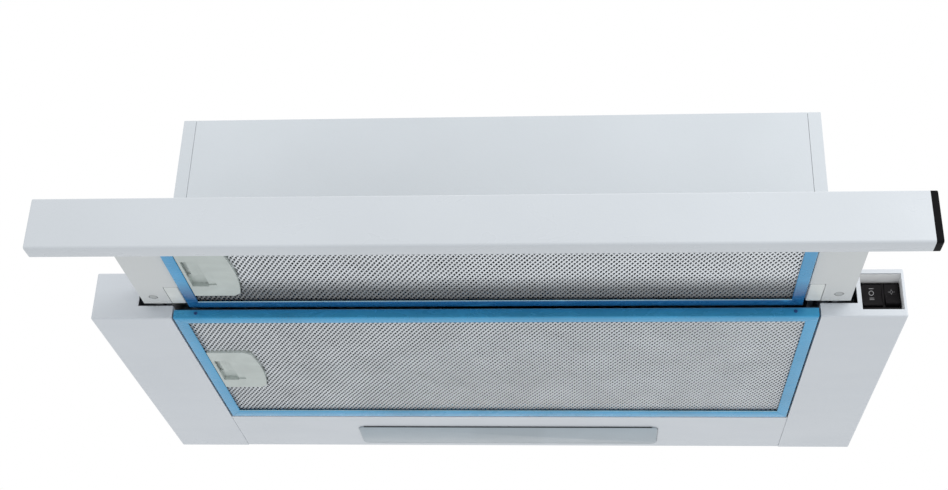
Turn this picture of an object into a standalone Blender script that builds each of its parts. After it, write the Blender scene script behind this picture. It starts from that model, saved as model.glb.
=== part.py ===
"""Slim pull-out range hood, 600 mm wide, for fitting under or inside a wall cabinet.

Metres, +Z up, +X to the right of a cook facing the hood, +Y towards the wall.
The origin is the middle of the rear face at the height of the cabinet's underside, so the upper case
stands above Z = 0 inside the cabinet and the shallow lower body hangs below it.
The tray is modelled pulled out to its stop.
"""

from math import asin, cos, degrees, pi, radians, sin

import bmesh
import bpy
from mathutils import Matrix, Vector

MM = 0.001
GAP = 0.3 * MM
SHEET = 1.0 * MM

# Lower body
BODY_WIDTH = 596 * MM
BODY_DEPTH = 276 * MM
BODY_HEIGHT = 38 * MM
SEAM_HALF = 236.8 * MM
FOLD_RADIUS = 1.2 * MM
LIP_HEIGHT = 10.6 * MM

# Upper case
CASE_WIDTH = 504 * MM
CASE_HEIGHT = 142 * MM
CASE_SETBACK = 12 * MM
CASE_FLANGE = 10 * MM

# Pull-out tray
TRAY_REACH = 126.5 * MM
FASCIA_WIDTH = 600 * MM
FASCIA_HEIGHT = 38 * MM
FASCIA_DEPTH = 14 * MM
FASCIA_DROP = 6 * MM
FASCIA_WALL = 1.2 * MM
FASCIA_RADIUS = 2 * MM
# The fascia hangs on slotted screws, and sits this far to the left of the body's middle.
FASCIA_SHIFT = -4 * MM
END_PLATE = 1.5 * MM
END_CAP = 5 * MM
ARM_INNER = 225.4 * MM
ARM_OUTER = 257.8 * MM
ARM_BOTTOM = 11.2 * MM
ARM_TOP = 27 * MM
ARM_REAR = -3 * MM
RAIL_CENTRE = 247.5 * MM
GLIDE_OUTER = 236.5 * MM
GLIDE_LENGTH = 27 * MM
GLIDE_TOP = 22 * MM

# Grease filters
FILTER_THICKNESS = 7.5 * MM
FILTER_BAR = 9 * MM
MESH_LEVEL = 1.2 * MM
MESH_METAL = 1.5 * MM
FIXED_HALF = 235.6 * MM
FIXED_DEPTH = 203 * MM
FIXED_REAR_BAR = 12.5 * MM
SLIDING_HALF = 224.2 * MM
SLIDING_LIFT = 8.6 * MM
HANDLE_LENGTH = 71 * MM
HANDLE_WIDTH = 37.5 * MM
HANDLE_BULGE = 4 * MM
LATCH_LENGTH = 22 * MM
LATCH_OFFSET = 17.5 * MM
# The finger window's ends, measured from the handle's front edge.
WINDOW_ENDS = (16.5 * MM, 55.3 * MM)
NOSE_LOW = 3.9 * MM
NOSE_HIGH = 5.2 * MM
KEEPER_LOW = 3.5 * MM
KEEPER_HIGH = 5.7 * MM
LUG_SHARES = (0.2, 0.6)

# Lamp and switches
LENS_LENGTH = 259.4 * MM
LENS_DEPTH = 40 * MM
PIVOT_DEPTH = 13 * MM
SWITCH_HEIGHT = 20.2 * MM
POCKET_X = (266.4 * MM, 295.8 * MM)
FAN_ROCKER_X = (268.4 * MM, 282.2 * MM)
LAMP_ROCKER_X = (284.5 * MM, 294.5 * MM)
LAMP_ROCKER_TILT = -8
ROCKER_HALF = 8.3 * MM
APERTURE_HALF = 9.4 * MM

# Blower and outlet
FAN_Y = -126 * MM
FAN_Z = 66 * MM
FAN_RADIUS = 50 * MM
SCROLL_HALF = 45 * MM
SCROLL_WALL = 2 * MM
TONGUE_RADIUS = 56 * MM
SCROLL_GROWTH = 16 * MM
OUTLET_Y = -104 * MM
OUTLET_RADIUS = 59.5 * MM
OUTLET_HEIGHT = 35 * MM
BLADES = 24

# Derived levels and faces
FRONT = -BODY_DEPTH
UNDER = -BODY_HEIGHT
CASE_FRONT = FRONT + CASE_SETBACK
CASE_HALF = CASE_WIDTH / 2
BODY_HALF = BODY_WIDTH / 2
FASCIA_FRONT = FRONT - TRAY_REACH
FASCIA_HALF = FASCIA_WIDTH / 2
FAN_CENTRE = (0, FAN_Y, FAN_Z)
FLAP_PIN = (0, OUTLET_Y, CASE_HEIGHT + 5.4 * MM)
GLAND_PLACE = (200 * MM, -30 * MM, CASE_HEIGHT)
SLIDING_FRONT = FRONT - 111.5 * MM
SLIDING_DEPTH = 110.9 * MM
FIXED_HANDLE_FRONT = FRONT + 66 * MM
SLIDING_HANDLE_FRONT = FRONT - 91 * MM

WHITE_PAINT = ("white_paint", (0.74, 0.76, 0.77), 0.32, 0.0)
WHITE_PLASTIC = ("white_plastic", (0.72, 0.74, 0.75), 0.42, 0.0)
GREY_PLASTIC = ("grey_plastic", (0.52, 0.57, 0.53), 0.5, 0.0)
BLACK_PLASTIC = ("black_plastic", (0.012, 0.012, 0.013), 0.35, 0.0)
BLUE_FILM = ("blue_film", (0.08, 0.37, 0.62), 0.25, 0.0)
BARE_ALUMINIUM = ("bare_aluminium", (0.62, 0.63, 0.65), 0.35, 1.0)
ZINC_STEEL = ("zinc_steel", (0.55, 0.56, 0.57), 0.4, 1.0)
LAMP_DIFFUSER = ("lamp_diffuser", (0.62, 0.66, 0.66), 0.3, 0.0)
CIRCUIT_BOARD = ("circuit_board", (0.7, 0.72, 0.68), 0.5, 0.0)


def clear_scene():
    """Remove every object of the open scene."""
    for obj in list(bpy.data.objects):
        bpy.data.objects.remove(obj, do_unlink=True)


def finish_material(finish):
    """Return the Principled material of a (name, colour, roughness, metallic) finish."""
    name, colour, roughness, metallic = finish
    material = bpy.data.materials.get(name) or bpy.data.materials.new(name)
    material.use_nodes = True
    shader = material.node_tree.nodes["Principled BSDF"]
    shader.inputs["Base Color"].default_value = (*colour, 1.0)
    shader.inputs["Roughness"].default_value = roughness
    shader.inputs["Metallic"].default_value = metallic
    material.diffuse_color = (*colour, 1.0)
    return material


def add_object(name, shape, finish=None):
    """Turn a bmesh into an object; without a finish it is a hidden cutter."""
    bmesh.ops.recalc_face_normals(shape, faces=shape.faces)
    mesh = bpy.data.meshes.new(name)
    shape.to_mesh(mesh)
    shape.free()
    obj = bpy.data.objects.new(name, mesh)
    bpy.context.scene.collection.objects.link(obj)
    if finish:
        mesh.materials.append(finish_material(finish))
    else:
        obj.hide_render = True
        obj.display_type = "WIRE"
    return obj


def block_shape(low, high):
    """A cuboid between two corners."""
    shape = bmesh.new()
    size = Vector(high) - Vector(low)
    centre = (Vector(high) + Vector(low)) / 2
    place = Matrix.Translation(centre) @ Matrix.Diagonal((*size, 1.0))
    bmesh.ops.create_cube(shape, size=1.0, matrix=place)
    return shape


def round_edges(shape, radius, segments, chosen):
    """Round the edges whose middle and direction the function chosen accepts."""
    edges = []
    for edge in shape.edges:
        first, second = (vert.co for vert in edge.verts)
        if chosen((first + second) / 2, (second - first).normalized()):
            edges.append(edge)
    bmesh.ops.bevel(
        shape, geom=edges, offset=radius, segments=segments, profile=0.5, affect="EDGES"
    )


def block(name, low, high, finish=None, radius=0.0, segments=2):
    """A cuboid object, with all its edges rounded if a radius is given."""
    shape = block_shape(low, high)
    if radius:
        round_edges(shape, radius, segments, lambda middle, direction: True)
    return add_object(name, shape, finish)


def prism_shape(outline, axis, start, end):
    """Extrude a closed outline along an axis; its two coordinates are the other axes in X, Y, Z order."""
    order = {"X": (2, 0, 1), "Y": (0, 2, 1), "Z": (0, 1, 2)}[axis]
    shape = bmesh.new()
    flat = [(u, v, start) for u, v in outline]
    verts = [shape.verts.new([point[i] for i in order]) for point in flat]
    face = shape.faces.new(verts)
    top = bmesh.ops.extrude_face_region(shape, geom=[face])
    moved = [item for item in top["geom"] if isinstance(item, bmesh.types.BMVert)]
    step = Vector({"X": (1, 0, 0), "Y": (0, 1, 0), "Z": (0, 0, 1)}[axis]) * (end - start)
    bmesh.ops.translate(shape, vec=step, verts=moved)
    return shape


def prism(name, outline, axis, start, end, finish=None):
    """An extruded outline as an object."""
    return add_object(name, prism_shape(outline, axis, start, end), finish)


def arc(centre, radius, first, last, steps):
    """Points on an arc, with angles in degrees from the first coordinate towards the second."""
    points = []
    for step in range(steps + 1):
        angle = radians(first + (last - first) * step / steps)
        points.append((centre[0] + radius * cos(angle), centre[1] + radius * sin(angle)))
    return points


def turned(name, profile, axis, centre, steps, finish=None):
    """Turn a closed (distance along the axis, radius) profile about an X or Z axis through centre.

    Points of radius zero lie on the axis, so a profile that starts and ends there makes a solid.
    """
    shape = bmesh.new()
    rings = []
    for along, radius in profile:
        if radius == 0:
            rings.append([shape.verts.new((0, 0, along))])
            continue
        circle = arc((0, 0), radius, 0, 360 - 360 / steps, steps - 1)
        rings.append([shape.verts.new((u, v, along)) for u, v in circle])
    count = len(rings)
    closed = profile[0][1] != 0
    for index in range(count if closed else count - 1):
        join_rings(shape, rings[index], rings[(index + 1) % count], steps)
    turn = Matrix.Rotation(pi / 2, 4, "Y") if axis == "X" else Matrix.Identity(4)
    bmesh.ops.transform(shape, matrix=Matrix.Translation(centre) @ turn, verts=shape.verts)
    obj = add_object(name, shape, finish)
    obj.data.shade_smooth()
    obj.data.set_sharp_from_angle(angle=radians(35))
    return obj


def join_rings(shape, lower, upper, steps):
    """Fill the band between two rings, either of which may be a single point."""
    for step in range(steps):
        after = (step + 1) % steps
        if len(lower) == 1:
            shape.faces.new((lower[0], upper[step], upper[after]))
        elif len(upper) == 1:
            shape.faces.new((lower[step], lower[after], upper[0]))
        else:
            shape.faces.new((lower[step], lower[after], upper[after], upper[step]))


def rod(name, radius, axis, centre, start, end, steps, finish=None):
    """A plain cylinder along an X or Z axis, from start to end measured from centre."""
    profile = [(start, 0), (start, radius), (end, radius), (end, 0)]
    return turned(name, profile, axis, centre, steps, finish)


def combine(target, tool, operation="DIFFERENCE"):
    """Cut a tool from a target, or join it to the target, and hide the tool."""
    modifier = target.modifiers.new(f"{operation.lower()}_{tool.name}", "BOOLEAN")
    modifier.operation = operation
    modifier.object = tool
    modifier.solver = "EXACT"
    tool.hide_render = True
    tool.display_type = "WIRE"


def cut_block(target, label, low, high):
    """Cut a cuboid from a target."""
    combine(target, block(f"{target.name}_{label}", low, high))


def join_block(target, label, low, high):
    """Join a cuboid to a target."""
    combine(target, block(f"{target.name}_{label}", low, high), "UNION")


def sided(side, inner, outer, y_span, z_span):
    """The corners of a cuboid on the left (side -1) or right (side 1), from its distances to the middle."""
    x_low, x_high = sorted((side * inner, side * outer))
    return (x_low, y_span[0], z_span[0]), (x_high, y_span[1], z_span[1])


def mirrored(side, outline):
    """The same (x, z) outline on the left or right."""
    return [(side * u, v) for u, v in outline]


def joint_empty(name, place, parent=None):
    """An empty on a joint's axis."""
    empty = bpy.data.objects.new(name, None)
    bpy.context.scene.collection.objects.link(empty)
    empty.empty_display_size = 0.02
    empty.location = place
    if parent:
        empty.parent = parent
        empty.location = Vector(place) - parent_place(parent)
    return empty


def parent_place(empty):
    """World position of an empty, adding up the empties that it hangs on."""
    place = empty.location.copy()
    while empty.parent:
        empty = empty.parent
        place += empty.location
    return place


def carry(empty, *pieces):
    """Hang pieces, whose meshes are in world coordinates, on an empty without moving them."""
    for piece in pieces:
        piece.parent = empty
        piece.location = -parent_place(empty)


# Casing


def make_case():
    """The upper case: a wrap of back and sides with front flanges, a front panel and a top panel."""
    half, flange, front = CASE_HALF, CASE_FLANGE, CASE_FRONT
    inside = half - SHEET
    right = [
        (half - flange, front),
        (half, front),
        (half, 0),
    ]
    right_inside = [
        (inside, -SHEET),
        (inside, front + SHEET),
        (half - flange, front + SHEET),
    ]
    left = [(-u, v) for u, v in reversed(right)]
    left_inside = [(-u, v) for u, v in reversed(right_inside)]
    outline = right + left + left_inside + right_inside
    wrap = prism("case_wrap", outline, "Z", UNDER + SHEET + GAP, CASE_HEIGHT, WHITE_PAINT)
    for side in (-1, 1):
        low, high = sided(side, SEAM_HALF - GAP, half + 1 * MM, (front - SHEET, SHEET), (UNDER, GAP))
        cut_block(wrap, f"step_{side}", low, high)

    panel_half = half - flange - GAP
    block(
        "front_panel",
        (-panel_half, front, GAP),
        (panel_half, front + SHEET, CASE_HEIGHT),
        WHITE_PAINT,
    )
    lid_half = inside - GAP
    lid = block(
        "top_panel",
        (-lid_half, front + SHEET + GAP, CASE_HEIGHT - SHEET),
        (lid_half, -SHEET - GAP, CASE_HEIGHT),
        WHITE_PAINT,
    )
    hole = rod("outlet_hole", 57 * MM, "Z", (0, OUTLET_Y, CASE_HEIGHT), -5 * MM, 5 * MM, 48)
    combine(lid, hole)
    gland_hole = rod("gland_hole", 8 * MM, "Z", GLAND_PLACE, -5 * MM, 5 * MM, 24)
    combine(lid, gland_hole)


def make_cross_rail():
    """A channel that closes the front of the body above the sliding filter."""
    half, depth = 224.5 * MM, 9 * MM
    bottom, top = UNDER + 22 * MM, -GAP
    front, back = CASE_FRONT, CASE_FRONT + depth
    outline = [
        (front, bottom),
        (back, bottom),
        (back, bottom + SHEET),
        (front + SHEET, bottom + SHEET),
        (front + SHEET, top - SHEET),
        (back, top - SHEET),
        (back, top),
        (front, top),
    ]
    prism("front_cross_rail", outline, "X", -half, half, WHITE_PAINT)


def make_cheek(name, side):
    """One hollow side of the lower body: shoulder, outer wall, underside and slotted front.

    Its inner side is open above a lip, so that the tray's arm can run inside it.
    """
    low, high = sided(side, SEAM_HALF, BODY_HALF, (FRONT, 0), (UNDER, 0))
    shape = block_shape(low, high)

    def is_outer_fold(middle, direction):
        along_front = abs(direction.x) > 0.9 and middle.y < FRONT + SHEET
        along_side = abs(middle.x) > BODY_HALF - SHEET
        return along_front or (along_side and middle.y < -SHEET)

    round_edges(shape, FOLD_RADIUS, 3, is_outer_fold)
    cheek = add_object(name, shape, WHITE_PAINT)
    inside_y = (FRONT + SHEET, -SHEET)
    lip_top = UNDER + LIP_HEIGHT
    cut_block(
        cheek,
        "hollow",
        *sided(side, SEAM_HALF + SHEET, BODY_HALF - SHEET, inside_y, (UNDER + SHEET, -SHEET)),
    )
    cut_block(
        cheek,
        "arm_side",
        *sided(side, SEAM_HALF - SHEET, SEAM_HALF + 2 * SHEET, inside_y, (lip_top, -SHEET)),
    )
    slot_outer = 263.3 * MM
    slot_y = (FRONT - SHEET, FRONT + 2 * SHEET)
    cut_block(
        cheek,
        "arm_slot",
        *sided(side, SEAM_HALF - SHEET, slot_outer, slot_y, (lip_top, UNDER + 30 * MM)),
    )
    for index, place_y in enumerate((-60 * MM, -216 * MM)):
        centre = (side * 275 * MM, place_y, 0)
        hole = rod(f"{name}_fixing_hole_{index}", 2.5 * MM, "Z", centre, -5 * MM, 5 * MM, 16)
        combine(cheek, hole)
    return cheek


def make_lower_body():
    """Both cheeks, with the keeper slot on the left and the lug notches and switch opening on the right."""
    left = make_cheek("cheek_left", -1)
    wall_x = (SEAM_HALF - SHEET, SEAM_HALF + 1.5 * SHEET)
    nose_y = latch_span(FIXED_HANDLE_FRONT)
    slot_y = (nose_y[0] - 1 * MM, nose_y[1] + 1 * MM)
    slot_z = (UNDER + KEEPER_LOW, UNDER + KEEPER_HIGH)
    cut_block(left, "keeper_slot", *sided(-1, *wall_x, slot_y, slot_z))

    right = make_cheek("cheek_right", 1)
    for index, centre_y in enumerate(lug_places(FRONT, FIXED_DEPTH)):
        notch_y = (centre_y - 7 * MM, centre_y + 7 * MM)
        notch_z = (UNDER + FILTER_THICKNESS, UNDER + LIP_HEIGHT + SHEET)
        cut_block(right, f"lug_notch_{index}", *sided(1, *wall_x, notch_y, notch_z))
    cut_block(
        right,
        "switch_opening",
        (POCKET_X[0], FRONT - SHEET, UNDER + 5.7 * MM),
        (POCKET_X[1], FRONT + 1.1 * SHEET, UNDER + 34.3 * MM),
    )


def make_slide_rails():
    """A steel channel in each cheek, open downwards between two lips, that a tray runner hangs in."""
    for name, side in (("slide_rail_left", -1), ("slide_rail_right", 1)):
        wide, wall, lip, throat = 7 * MM, 1.2 * MM, 1.5 * MM, 3.2 * MM
        low, high = UNDER + 15 * MM, -SHEET - GAP
        half = [
            (throat, low),
            (wide, low),
            (wide, high),
        ]
        inner = [
            (wide - wall, high - wall),
            (wide - wall, low + lip),
            (throat, low + lip),
        ]
        outline = [(u, v) for u, v in half]
        outline += [(-u, v) for u, v in reversed(half)]
        outline += [(-u, v) for u, v in reversed(inner)]
        outline += inner
        centred = [(side * RAIL_CENTRE + u, v) for u, v in outline]
        prism(name, centred, "Y", FRONT + 1.5 * MM, FRONT + 262 * MM, ZINC_STEEL)


# Lamp


def make_lamp():
    """The rear underside panel with its lamp: lens, reflector tray, LED board and driver."""
    front, rear = FRONT + 203.8 * MM, -SHEET - GAP
    half = SEAM_HALF - GAP
    outline = [
        (front, UNDER),
        (rear, UNDER),
        (rear, UNDER + SHEET),
        (front + SHEET, UNDER + SHEET),
        (front + SHEET, UNDER + 8 * MM),
        (front, UNDER + 8 * MM),
    ]
    panel = prism("rear_lamp_panel", outline, "X", -half, half, WHITE_PAINT)
    lens_front = FRONT + 227 * MM
    lens_rear = lens_front + LENS_DEPTH
    rim = 4 * MM
    opening_half = LENS_LENGTH / 2 + GAP
    cut_block(
        panel,
        "lamp_opening",
        (-opening_half, lens_front + rim - GAP, UNDER - SHEET),
        (opening_half, lens_rear - rim + GAP, UNDER + 2 * SHEET),
    )
    face, under_panel, lens_top = UNDER - 1.2 * MM, UNDER - GAP, UNDER + 3 * MM
    chamfer = 0.6 * MM
    outline = [
        (lens_front + chamfer, face),
        (lens_rear - chamfer, face),
        (lens_rear, face + chamfer),
        (lens_rear, under_panel),
        (lens_rear - rim, under_panel),
        (lens_rear - rim, lens_top),
        (lens_front + rim, lens_top),
        (lens_front + rim, under_panel),
        (lens_front, under_panel),
        (lens_front, face + chamfer),
    ]
    prism("lamp_lens", outline, "X", -LENS_LENGTH / 2, LENS_LENGTH / 2, LAMP_DIFFUSER)

    tray_half, tray_front, tray_rear = 128 * MM, FRONT + 229 * MM, FRONT + 265 * MM
    foot, roof = UNDER + SHEET + GAP, UNDER + 18 * MM
    outline = [
        (tray_front, foot),
        (tray_front + SHEET, foot),
        (tray_front + SHEET, roof - SHEET),
        (tray_rear - SHEET, roof - SHEET),
        (tray_rear - SHEET, foot),
        (tray_rear, foot),
        (tray_rear, roof),
        (tray_front, roof),
    ]
    prism("lamp_tray", outline, "X", -tray_half, tray_half, ZINC_STEEL)
    block(
        "led_board",
        (-120 * MM, FRONT + 240 * MM, UNDER + 15 * MM),
        (120 * MM, FRONT + 254 * MM, UNDER + 16.6 * MM),
        CIRCUIT_BOARD,
    )
    block(
        "led_driver",
        (150 * MM, FRONT + 226 * MM, UNDER + 1.5 * MM),
        (215 * MM, FRONT + 260 * MM, UNDER + 22 * MM),
        WHITE_PLASTIC,
        radius=1.5 * MM,
    )


# Switches

def make_switch_pocket():
    """A tapered frame behind the right cheek's front opening that leads down to the switches."""
    front, back = FRONT + SHEET + GAP, FRONT + 10 * MM
    wall = 0.9 * MM
    inner = [
        (front, UNDER + 5.7 * MM),
        (back, UNDER + 8.5 * MM),
        (back, UNDER + 31 * MM),
        (front, UNDER + 34.3 * MM),
    ]
    outer = [(y, z - wall if z < UNDER + SWITCH_HEIGHT else z + wall) for y, z in inner]
    pocket = prism(
        "switch_pocket", outer, "X", POCKET_X[0] - wall, POCKET_X[1] + wall, WHITE_PAINT
    )
    reach = [(front - SHEET, inner[0][1]), (back + SHEET, inner[1][1])]
    reach += [(back + SHEET, inner[2][1]), (front - SHEET, inner[3][1])]
    combine(pocket, prism("switch_pocket_hollow", reach, "X", *POCKET_X))


def make_switch_housing():
    """The black switch body with a bezel and two apertures."""
    middle = UNDER + SWITCH_HEIGHT
    bezel = block(
        "switch_housing",
        (POCKET_X[0] + GAP, FRONT + 8 * MM, UNDER + 9.3 * MM),
        (POCKET_X[1] - GAP, FRONT + 11 * MM, UNDER + 30.3 * MM),
        BLACK_PLASTIC,
    )
    join_block(
        bezel,
        "body",
        (POCKET_X[0] + 1 * MM, FRONT + 10 * MM, middle - 10.3 * MM),
        (POCKET_X[1] - 1 * MM, FRONT + 30 * MM, middle + 9.9 * MM),
    )
    for label, span in (("fan_aperture", FAN_ROCKER_X), ("lamp_aperture", LAMP_ROCKER_X)):
        cut_block(
            bezel,
            label,
            (span[0] - 0.4 * MM, FRONT + 7 * MM, middle - APERTURE_HALF),
            (span[1] + 0.4 * MM, FRONT + 26 * MM, middle + APERTURE_HALF),
        )


def rocker_outline(tilt):
    """The (y, z) outline of a rocker about its pivot, turned by tilt degrees about +X."""
    tip, dish, back = -6.6 * MM, -4.6 * MM, 8 * MM
    outline = [
        (tip, ROCKER_HALF - 0.4 * MM),
        (dish, 0),
        (tip, -ROCKER_HALF + 0.4 * MM),
        (tip + 0.5 * MM, -ROCKER_HALF),
        (2 * MM, -ROCKER_HALF),
        (back, -3 * MM),
        (back, 3 * MM),
        (2 * MM, ROCKER_HALF),
        (tip + 0.5 * MM, ROCKER_HALF),
    ]
    angle = radians(tilt)
    turned_points = []
    for y, z in outline:
        turned_points.append((y * cos(angle) - z * sin(angle), y * sin(angle) + z * cos(angle)))
    return turned_points


def make_rocker(name, span, tilt):
    """A rocker on its own pivot empty."""
    pivot_y, pivot_z = FRONT + PIVOT_DEPTH, UNDER + SWITCH_HEIGHT
    outline = [(pivot_y + y, pivot_z + z) for y, z in rocker_outline(tilt)]
    rocker = prism(name, outline, "X", *span, BLACK_PLASTIC)
    carry(joint_empty(f"{name}_pivot", (sum(span) / 2, pivot_y, pivot_z)), rocker)


def make_switches():
    """The switch pocket, its housing, the three-position fan rocker and the two-position lamp rocker."""
    make_switch_pocket()
    make_switch_housing()
    make_rocker("fan_rocker", FAN_ROCKER_X, 0)
    make_rocker("lamp_rocker", LAMP_ROCKER_X, LAMP_ROCKER_TILT)


# Blower

def scroll_outline(offset, top):
    """The (y, z) outline of the scroll: a spiral from the tongue round to the rear, then a straight throat."""
    points = []
    steps, first, last = 24, 120, 360
    for step in range(steps + 1):
        share = step / steps
        angle = radians(first + (last - first) * share)
        radius = TONGUE_RADIUS + SCROLL_GROWTH * share + offset
        points.append((FAN_Y + radius * cos(angle), FAN_Z + radius * sin(angle)))
    points.append((points[-1][0], top))
    points.append((points[0][0], top))
    return points


def make_scroll():
    """The hollow scroll with a round inlet on its left side and a shaft hole on its right side."""
    top = CASE_HEIGHT - 3 * MM
    outline = scroll_outline(SCROLL_WALL, top)
    scroll = prism("blower_scroll", outline, "X", -SCROLL_HALF, SCROLL_HALF, BLACK_PLASTIC)
    inside = SCROLL_HALF - SCROLL_WALL
    hollow = scroll_outline(0, top + SCROLL_WALL)
    combine(scroll, prism("scroll_hollow", hollow, "X", -inside, inside))
    reach = SCROLL_WALL + 3 * MM
    inlet = rod("scroll_inlet", 42 * MM, "X", FAN_CENTRE, -inside - reach, -inside + 1 * MM, 40)
    combine(scroll, inlet)
    shaft_hole = rod("scroll_shaft_hole", 12 * MM, "X", FAN_CENTRE, inside - 1 * MM, inside + reach, 24)
    combine(scroll, shaft_hole)

    lip = -SCROLL_HALF - GAP
    profile = [
        (lip, 42.3 * MM),
        (lip, 50 * MM),
        (lip - 2 * MM, 50 * MM),
        (lip - 4 * MM, 47.5 * MM),
        (lip - 3.4 * MM, 44.4 * MM),
    ]
    turned("inlet_ring", profile, "X", FAN_CENTRE, 40, BLACK_PLASTIC)


def blade_shapes():
    """The forward-curved blades as separate thin plates round the fan's axis."""
    shape = bmesh.new()
    reach, thick = 7.6 * MM, 1.4 * MM
    left, right = -34.5 * MM, 31 * MM
    for index in range(BLADES):
        size = Matrix.Diagonal((right - left, thick, reach, 1.0))
        tilt = Matrix.Rotation(radians(22), 4, "X")
        out = Matrix.Translation(((left + right) / 2, 0, 45.6 * MM))
        turn = Matrix.Rotation(2 * pi * index / BLADES, 4, "X")
        place = Matrix.Translation(FAN_CENTRE) @ turn @ out @ tilt @ size
        bmesh.ops.create_cube(shape, size=1.0, matrix=place)
    return shape


def make_impeller():
    """The drum impeller on its shaft: back disc with a bored hub, blades and a front ring."""
    hub, bore = 10 * MM, 4.3 * MM
    profile = [
        (8 * MM, bore),
        (8 * MM, hub),
        (30 * MM, hub),
        (30 * MM, FAN_RADIUS),
        (32 * MM, FAN_RADIUS),
        (32 * MM, bore),
    ]
    impeller = turned("fan_impeller", profile, "X", FAN_CENTRE, 48, BLACK_PLASTIC)
    combine(impeller, add_object("impeller_blades", blade_shapes()), "UNION")
    ring = [
        (-36 * MM, 42.5 * MM),
        (-36 * MM, FAN_RADIUS),
        (-33 * MM, FAN_RADIUS),
        (-33 * MM, 42.5 * MM),
    ]
    combine(impeller, turned("impeller_ring", ring, "X", FAN_CENTRE, 48), "UNION")
    shaft = rod("motor_shaft", 4 * MM, "X", FAN_CENTRE, 9 * MM, 47.5 * MM, 16, ZINC_STEEL)
    carry(joint_empty("fan_axis", FAN_CENTRE), impeller, shaft)


def make_motor():
    """The motor beside the scroll, the bracket that holds it, and its capacitor with a clip."""
    case, boss = 38 * MM, 9 * MM
    front, rear = 50 * MM, 104 * MM
    profile = [
        (48 * MM, 0),
        (48 * MM, boss),
        (front, boss),
        (front, case - 3 * MM),
        (front + 3 * MM, case),
        (rear - 3 * MM, case),
        (rear, case - 3 * MM),
        (rear, boss + 3 * MM),
        (rear + 4 * MM, boss),
        (rear + 4 * MM, 0),
    ]
    turned("fan_motor", profile, "X", FAN_CENTRE, 32, ZINC_STEEL)
    face = SCROLL_HALF + GAP
    cup = case + 0.6 * MM
    profile = [
        (face, 14 * MM),
        (face, 46 * MM),
        (face + 1.6 * MM, 46 * MM),
        (face + 1.6 * MM, cup + 1.6 * MM),
        (68 * MM, cup + 1.6 * MM),
        (68 * MM, cup),
        (face + 1.6 * MM, cup),
        (face + 1.6 * MM, 14 * MM),
    ]
    turned("motor_bracket", profile, "X", FAN_CENTRE, 32, ZINC_STEEL)

    radius, centre = 14 * MM, (145 * MM, -18 * MM, 30 * MM)
    profile = [
        (-26 * MM, 0),
        (-26 * MM, radius - 2 * MM),
        (-24 * MM, radius),
        (24 * MM, radius),
        (24 * MM, 0),
    ]
    turned("run_capacitor", profile, "X", centre, 24, WHITE_PLASTIC)
    inner, outer = radius + GAP, radius + GAP + 1.2 * MM
    foot_y = -SHEET - GAP - centre[1]
    outline = [(foot_y, outer)] + arc((0, 0), outer, 90, 270, 12) + [(foot_y, -outer)]
    outline += [(foot_y, -inner)] + arc((0, 0), inner, 270, 90, 12) + [(foot_y, inner)]
    placed = [(centre[1] + y, centre[2] + z) for y, z in outline]
    prism("capacitor_clip", placed, "X", centre[0] - 6 * MM, centre[0] + 6 * MM, ZINC_STEEL)


def make_terminal_box():
    """The terminal box under the top panel, its lid, and the cable gland above it."""
    low = Vector((165 * MM, -55 * MM, CASE_HEIGHT - 31 * MM))
    high = Vector((240 * MM, -5 * MM, CASE_HEIGHT - SHEET - GAP))
    wall = Vector((2 * MM, 2 * MM, 2 * MM))
    box = block("terminal_box", low, high, WHITE_PLASTIC)
    inside_low = (low.x + wall.x, low.y + wall.y, low.z - wall.z)
    cut_block(box, "hollow", inside_low, high - wall)
    combine(box, rod("terminal_box_entry", 8 * MM, "Z", GLAND_PLACE, -8 * MM, 0, 24))
    lid_low = (low.x, low.y, low.z - GAP - 2 * MM)
    block("terminal_lid", lid_low, (high.x, high.y, low.z - GAP), WHITE_PLASTIC)

    bore, body, flange = 3.8 * MM, 7.6 * MM, 11 * MM
    profile = [
        (-3 * MM, bore),
        (-3 * MM, body),
        (GAP, body),
        (GAP, flange),
        (4 * MM, flange),
        (4 * MM, 9 * MM),
        (13 * MM, 8 * MM),
        (15 * MM, 6 * MM),
        (15 * MM, bore),
    ]
    turned("cable_gland", profile, "Z", GLAND_PLACE, 24, BLACK_PLASTIC)


def make_flap(name, side, sleeves):
    """A half-round non-return flap with sleeves round the pin; side -1 is the front one."""
    radius, edge, plate = 55.9 * MM, 2.6 * MM, 1 * MM
    start = degrees(asin(edge / radius))
    outline = [(side * v, u) for u, v in arc((0, 0), radius, start, 180 - start, 24)]
    centred = [(u, OUTLET_Y + v) for v, u in outline]
    low = FLAP_PIN[2] - 2.6 * MM
    flap = prism(name, centred, "Z", low, low + plate, BLACK_PLASTIC)
    for index, (first, last) in enumerate(sleeves):
        web_y = sorted((OUTLET_Y + side * 1.0 * MM, OUTLET_Y + side * 4.5 * MM))
        join_block(
            flap,
            f"web_{index}",
            (first, web_y[0], low + 0.2 * MM),
            (last, web_y[1], low + plate),
        )
        sleeve = rod(f"{name}_sleeve_{index}", 2.7 * MM, "X", FLAP_PIN, first, last, 16)
        combine(flap, sleeve, "UNION")
    combine(flap, rod(f"{name}_bore", 1.8 * MM, "X", FLAP_PIN, -60 * MM, 60 * MM, 16))
    carry(joint_empty(f"{name}_hinge", FLAP_PIN), flap)


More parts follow.
